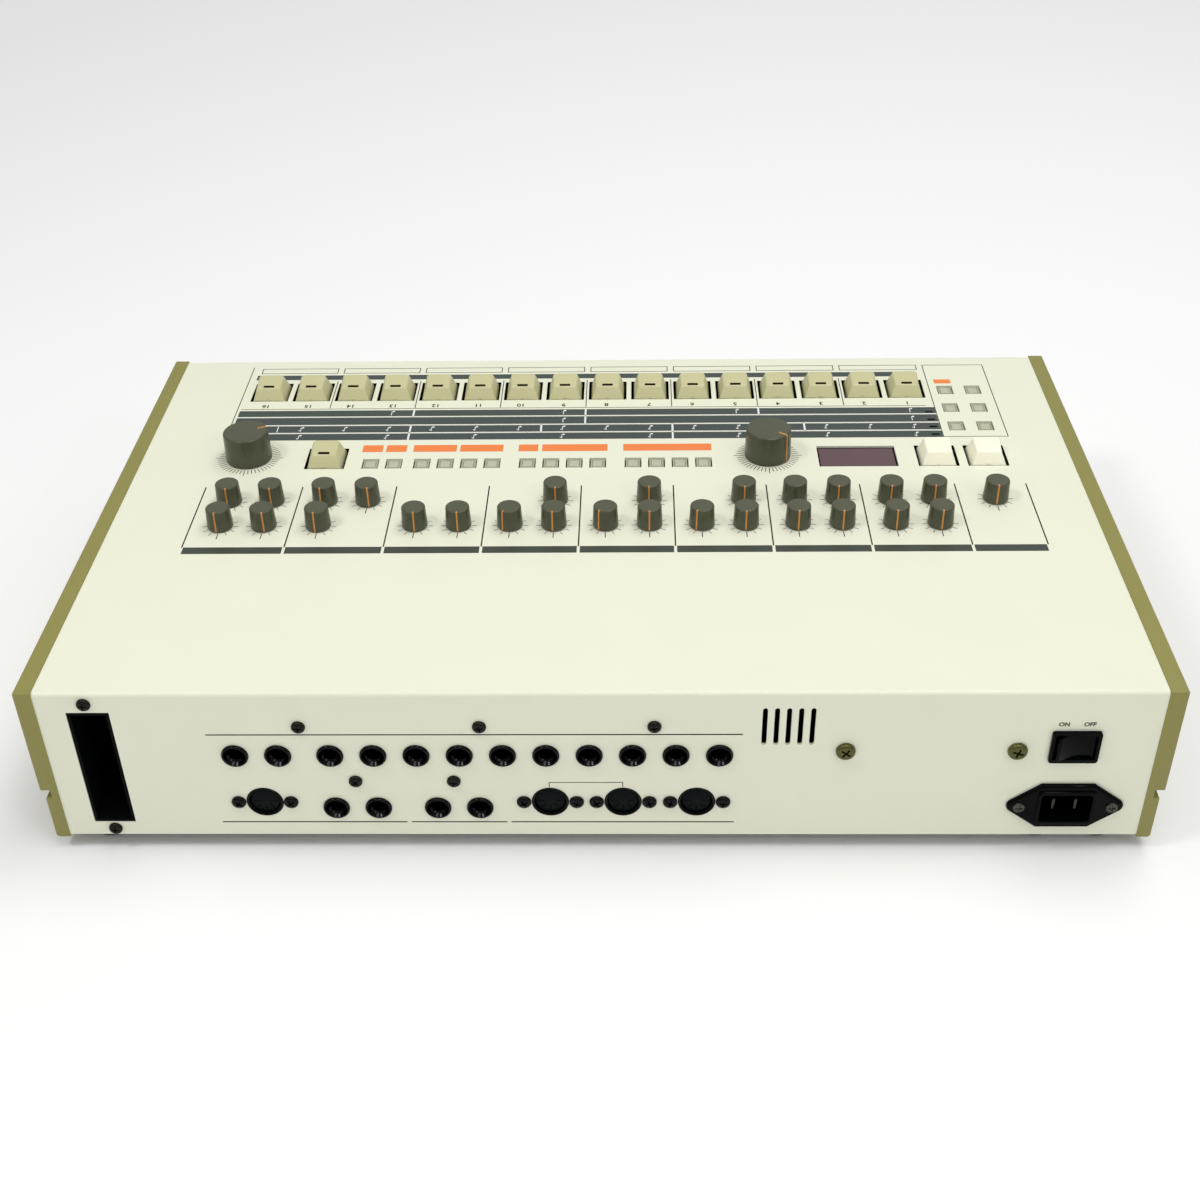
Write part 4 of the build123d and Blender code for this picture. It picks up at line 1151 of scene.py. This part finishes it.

# %% [markdown]
# ## The round sockets
# A five-pin socket shows a thin round bezel, a groove for the plug's shell, and a core with five
# contact slots that fan out over its lower half. The bezel and core are lathed. Each slot is a
# block of deepest black that lies in the core's face: painted shade, for the dark inside of a hole.

# %% Bezels, cores and the painted shade of the contact slots
core_black = finish(
    "core black", (0.0035, 0.0055, 0.0062), (0.0025, 0.0042, 0.0048), 0.4, grain=0.02,
    specular=0.06,
)
din_places = middles(solids_in("din_sockets"), y=REAR_Y)
BEZEL = [(8.15, 0.0), (8.15, 0.2), (7.95, 0.45), (7.65, 0.5), (7.35, 0.3), (7.2, -0.2),
         (7.1, -1.2), (7.7, -1.2), (7.7, 0.0)]
CORE = [(0, -0.55), (5.9, -0.55), (6.3, -0.8), (6.3, -1.6), (0, -1.6)]
for name, profile, ring, plastic in (
    ("din_bezels", BEZEL, True, glossy_black), ("din_cores", CORE, False, core_black),
):
    mesh = lathed(name, profile, 40, ring)
    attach(copies(name, mesh, din_places, plastic, OUT_OF_REAR), "case")

# Each contact slot is a black block of painted shade, where the real socket has a dark hole.
CONTACTS, CONTACT_TURN = 5, 45
form = bmesh.new()
for k in range(CONTACTS):
    slot = bmesh.new()
    add_block(slot, (2.2, -0.5, -0.8), (5.2, 0.5, -0.53), 0.25)
    # Turned out of the rear, the shape's +Y points down.
    slot.transform(turn(CONTACT_TURN * k, "Z"))
    form.from_mesh(mesh_of("slot", slot))
contacts = copies("din_contacts", mesh_of("contacts", form), din_places, matt_black, OUT_OF_REAR)
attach(contacts, "case")

# %% [markdown]
# ## The inlet's rim
# The mouth of the mains inlet has a rounded rim. A closed curve with a round section follows the
# mouth's outline, and it becomes a mesh before it is laid on the rear.

# %% The rim of the inlet
INLET_X, INLET_Z = -202.0, 26.5
RIM_HALF_X, RIM_HALF_Z, RIM_CORNER, RIM_RADIUS = 11.9, 8.6, 2.2, 0.75


def rounded_outline(half_x, half_z, corner, steps=5):
    """Points of a rectangle with rounded corners, about the origin."""
    points = []
    for quarter in range(4):
        middle = ((half_x - corner) * (1, -1, -1, 1)[quarter],
                  (half_z - corner) * (1, 1, -1, -1)[quarter])
        for k in range(steps + 1):
            a = math.radians(90 * (quarter + k / steps))
            points.append((middle[0] + corner * math.cos(a), middle[1] + corner * math.sin(a)))
    return points


outline = rounded_outline(RIM_HALF_X, RIM_HALF_Z, RIM_CORNER)
curve = bpy.data.curves.new("rim", "CURVE")
curve.dimensions = "3D"
curve.bevel_depth = RIM_RADIUS * MM
curve.bevel_resolution = 3
path = curve.splines.new("POLY")
path.points.add(len(outline) - 1)
path.use_cyclic_u = True
inlet_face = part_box("ac_inlet")[1].y - RIM_RADIUS * MM
for point, (x, z) in zip(path.points, outline):
    point.co = ((INLET_X + x) * MM, inlet_face, (INLET_Z + z) * MM, 1)
inlet_rim = new_piece("inlet_rim", mesh_of_curve(curve), glossy_black)
smooth_but_sharp(inlet_rim.data, 60)
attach(inlet_rim, "case")
print("inlet face", round(inlet_face / MM, 2), "rim faces", len(inlet_rim.data.polygons))

# %% [markdown]
# ## Screws
# Small pan heads hold the sockets and the boards, larger olive ones the bracket, and each has a
# cross recess. A head is lathed, and a boolean cuts the cross once, before the tree copies it.

# %% Screw heads
def cross_form(length, width, low, high):
    """An upright bar with a plus-shaped section, in millimetres."""
    a, b = length / 2, width / 2
    outline = [(b, b), (b, a), (-b, a), (-b, b), (-a, b), (-a, -b),
               (-b, -b), (-b, -a), (b, -a), (b, -b), (a, -b), (a, b)]
    form = bmesh.new()
    rounds = [[form.verts.new(Vector((x, y, z)) * MM) for x, y in outline] for z in (low, high)]
    form.faces.new(rounds[0])
    form.faces.new(rounds[1])
    skinned(form, rounds)
    return mesh_of("cross", form)


# The dome starts at SHOULDER, a share of the height, and the cross is cut down to there from
# ABOVE_ALL millimetres. The cross's length and width are shares of the radius.
DOME_STEPS, SHOULDER, CROSS_LENGTH, CROSS_WIDTH, ABOVE_ALL = 5, 0.35, 1.15, 0.24, 9


def screw_head(radius, height, flat=0.45):
    """A domed head with a cross recess. Flat is the share of the radius that stays level."""
    profile = [(0, height)]
    for k in range(DOME_STEPS + 1):
        a = math.radians(90 * k / DOME_STEPS)
        profile.append((radius * flat + radius * (1 - flat) * math.sin(a),
                        height * SHOULDER + height * (1 - SHOULDER) * math.cos(a)))
    profile += [(radius, 0), (0, 0)]
    cross = cross_form(radius * CROSS_LENGTH, radius * CROSS_WIDTH, height * SHOULDER, ABOVE_ALL)
    head = new_piece("head", lathed("head", profile, 28), black_steel)
    cutter = new_piece("cutter", cross)
    cut = head.modifiers.new("cross", "BOOLEAN")
    cut.operation = "DIFFERENCE"
    cut.solver = "EXACT"
    cut.object = cutter
    mesh = plain_mesh(head).data
    bpy.data.objects.remove(cutter)
    bpy.data.objects.remove(head)
    return mesh


def rear_places(spots, out=0.0):
    """(x, z) in millimetres as places that stand out of the rear panel."""
    return [(x * MM, REAR_Y + out * MM, z * MM) for x, z in spots]


# %% Lay the screws
PAN_SPOTS = [(214.9, 83.4), (214.9, 12.4), (126.1, 71.0), (49.5, 71.0), (-24.3, 71.0),
             (104.9, 40.3), (62.3, 40.3)]
OLIVE_SPOTS = [(-105.3, 57.5), (-177.7, 57.5)]
INLET_SCREW_X, INLET_FACE_OUT, DIN_SCREW_X = 20, 1.98, 11.5
INLET_SPOTS = [(INLET_X + side * INLET_SCREW_X, INLET_Z) for side in (-1, 1)]
DIN_SPOTS = [(x / MM + side * DIN_SCREW_X, z / MM) for x, y, z in din_places for side in (-1, 1)]
for name, head, places, steel, seed in (
    ("pan_screws", screw_head(3.0, 1.8), rear_places(PAN_SPOTS), black_steel, 2),
    ("olive_screws", screw_head(4.2, 2.4, 0.6), rear_places(OLIVE_SPOTS), olive_steel, 3),
    ("inlet_screws", screw_head(2.6, 0.9), rear_places(INLET_SPOTS, INLET_FACE_OUT), grey_steel, 5),
    ("din_screws", screw_head(3.2, 1.9, 0.15), rear_places(DIN_SPOTS), glossy_black, 7),
):
    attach(copies(name, head, places, steel, OUT_OF_REAR, spin=180, seed=seed), "case")

# %% [markdown]
# ## The feet
# Five turned rubber feet carry the machine. Each is wider at the top and has a counterbore from
# below, where a screw head holds it to the cover.

# %% Feet and their screws
foot_places = middles(solids_in("rubber_feet"), z=0)
FOOT = [(4.0, 0.0), (9.1, 0.0), (9.8, 0.6), (9.95, 8.5), (1.6, 8.5), (1.6, 5.5), (4.0, 5.5)]
feet = copies("turned_feet", lathed("foot", FOOT, 40, ring=True), foot_places, rubber)
stand_for(feet, "rubber_feet", "case")
under = [(x, y, 5.5 * MM) for x, y, z in foot_places]
foot_screws = copies("foot_screws", screw_head(3.1, 1.6), under, bright_steel, (math.pi, 0, 0),
                     spin=180, seed=11)
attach(foot_screws, "case")

# %% [markdown]
# ## The display window
# The lens lies a little below the panel. A dark band round its edge is painted shade, for the shadow of the
# recess's walls.

# %% The painted shade round the window
EDGE_SHADE_WIDTH = 0.7
lens_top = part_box("display_window")[1].z
form = joined_form("display_window")
face = [v.co for v in form.verts if v.co.z > lens_top - 0.01 * MM]
(left, right), (near, far) = (
    [outermost(co[axis] for co in face) / MM for outermost in (min, max)] for axis in (0, 1)
)
form.free()
inset = EDGE_SHADE_WIDTH / 2
edge_shade = frame_round(left + inset, near + inset, right - inset, far - inset, EDGE_SHADE_WIDTH)
print_shapes("window_border", edge_shade, matt_black, (lens_top - PANEL_Z) / MM)

# %% [markdown]
# ## A studio
# A pale floor, a long strip lamp overhead and an even world give most of the light. Two small weak
# lamps stand behind the machine, left and right. Glossy plastic mirrors the strip as a line along
# its edges, and the small lamps as glints in its hollows. A studio's paper sweep stays white far
# behind the object. That is extra brightness that only the camera sees, directly or in a mirror or
# glass: Light Path keeps it out of the object's light. The floor belongs to no body, so it isn't
# part of the object.

# %% Floor and lamps
FLOOR_COLOUR = (0.94, 0.94, 0.94)
floor_mesh = bpy.data.meshes.new("floor")
floor_mesh.from_pydata([(-6, -6, 0), (6, -6, 0), (6, 6, 0), (-6, 6, 0)], [], [(0, 1, 2, 3)])
floor_paint = bpy.data.materials.new("floor paint")
floor_paint.use_nodes = True
floor_tree = floor_paint.node_tree
floor_place = add_node(
    floor_tree, "SeparateXYZ", {"Vector": add_node(floor_tree, "TexCoord").outputs["Object"]}
).outputs["Y"]
far_away = add_node(
    floor_tree, "MapRange",
    {"Value": floor_place, "From Min": 0.1, "From Max": -2.0, "To Max": 0.21},
)
ray = add_node(floor_tree, "LightPath").outputs
mirrored = math_node(floor_tree, "MAXIMUM", ray["Is Glossy Ray"], ray["Is Transmission Ray"])
seen = math_node(floor_tree, "MAXIMUM", ray["Is Camera Ray"], mirrored)
floor_look = {
    "Base Color": (*FLOOR_COLOUR, 1), "Roughness": 0.9, "Emission Color": (1, 1, 1, 1),
    "Emission Strength": math_node(floor_tree, "MULTIPLY", far_away, seen),
}
for socket, value in floor_look.items():
    join(floor_tree, value, floor_tree.nodes["Principled BSDF"].inputs[socket])
new_piece("floor", floor_mesh, floor_paint)


def soft_lamp(name, place, width, depth, power):
    """A rectangular area lamp at a place, aimed at the origin."""
    data = bpy.data.lights.new(name, "AREA")
    data.shape = "RECTANGLE"
    data.size = width
    data.size_y = depth
    data.energy = power
    lamp = in_scene(name, data)
    aim = (-Vector(place)).to_track_quat("-Z", "Y").to_matrix().to_4x4()
    lamp.matrix_world = Matrix.Translation(place) @ aim


soft_lamp("overhead strip", (-0.35, 0.12, 1.6), 1.8, 0.55, 14)
soft_lamp("left", (0.75, 0.45, 1.35), 0.3, 0.3, 4.5)
soft_lamp("right", (-0.85, 1.0, 1.1), 0.25, 0.25, 1.6)
world = bpy.data.worlds.new("studio")
bpy.context.scene.world = world
world.use_nodes = True
world_light = world.node_tree.nodes["Background"].inputs
world_light["Color"].default_value = (1, 1, 1, 1)
world_light["Strength"].default_value = 0.46
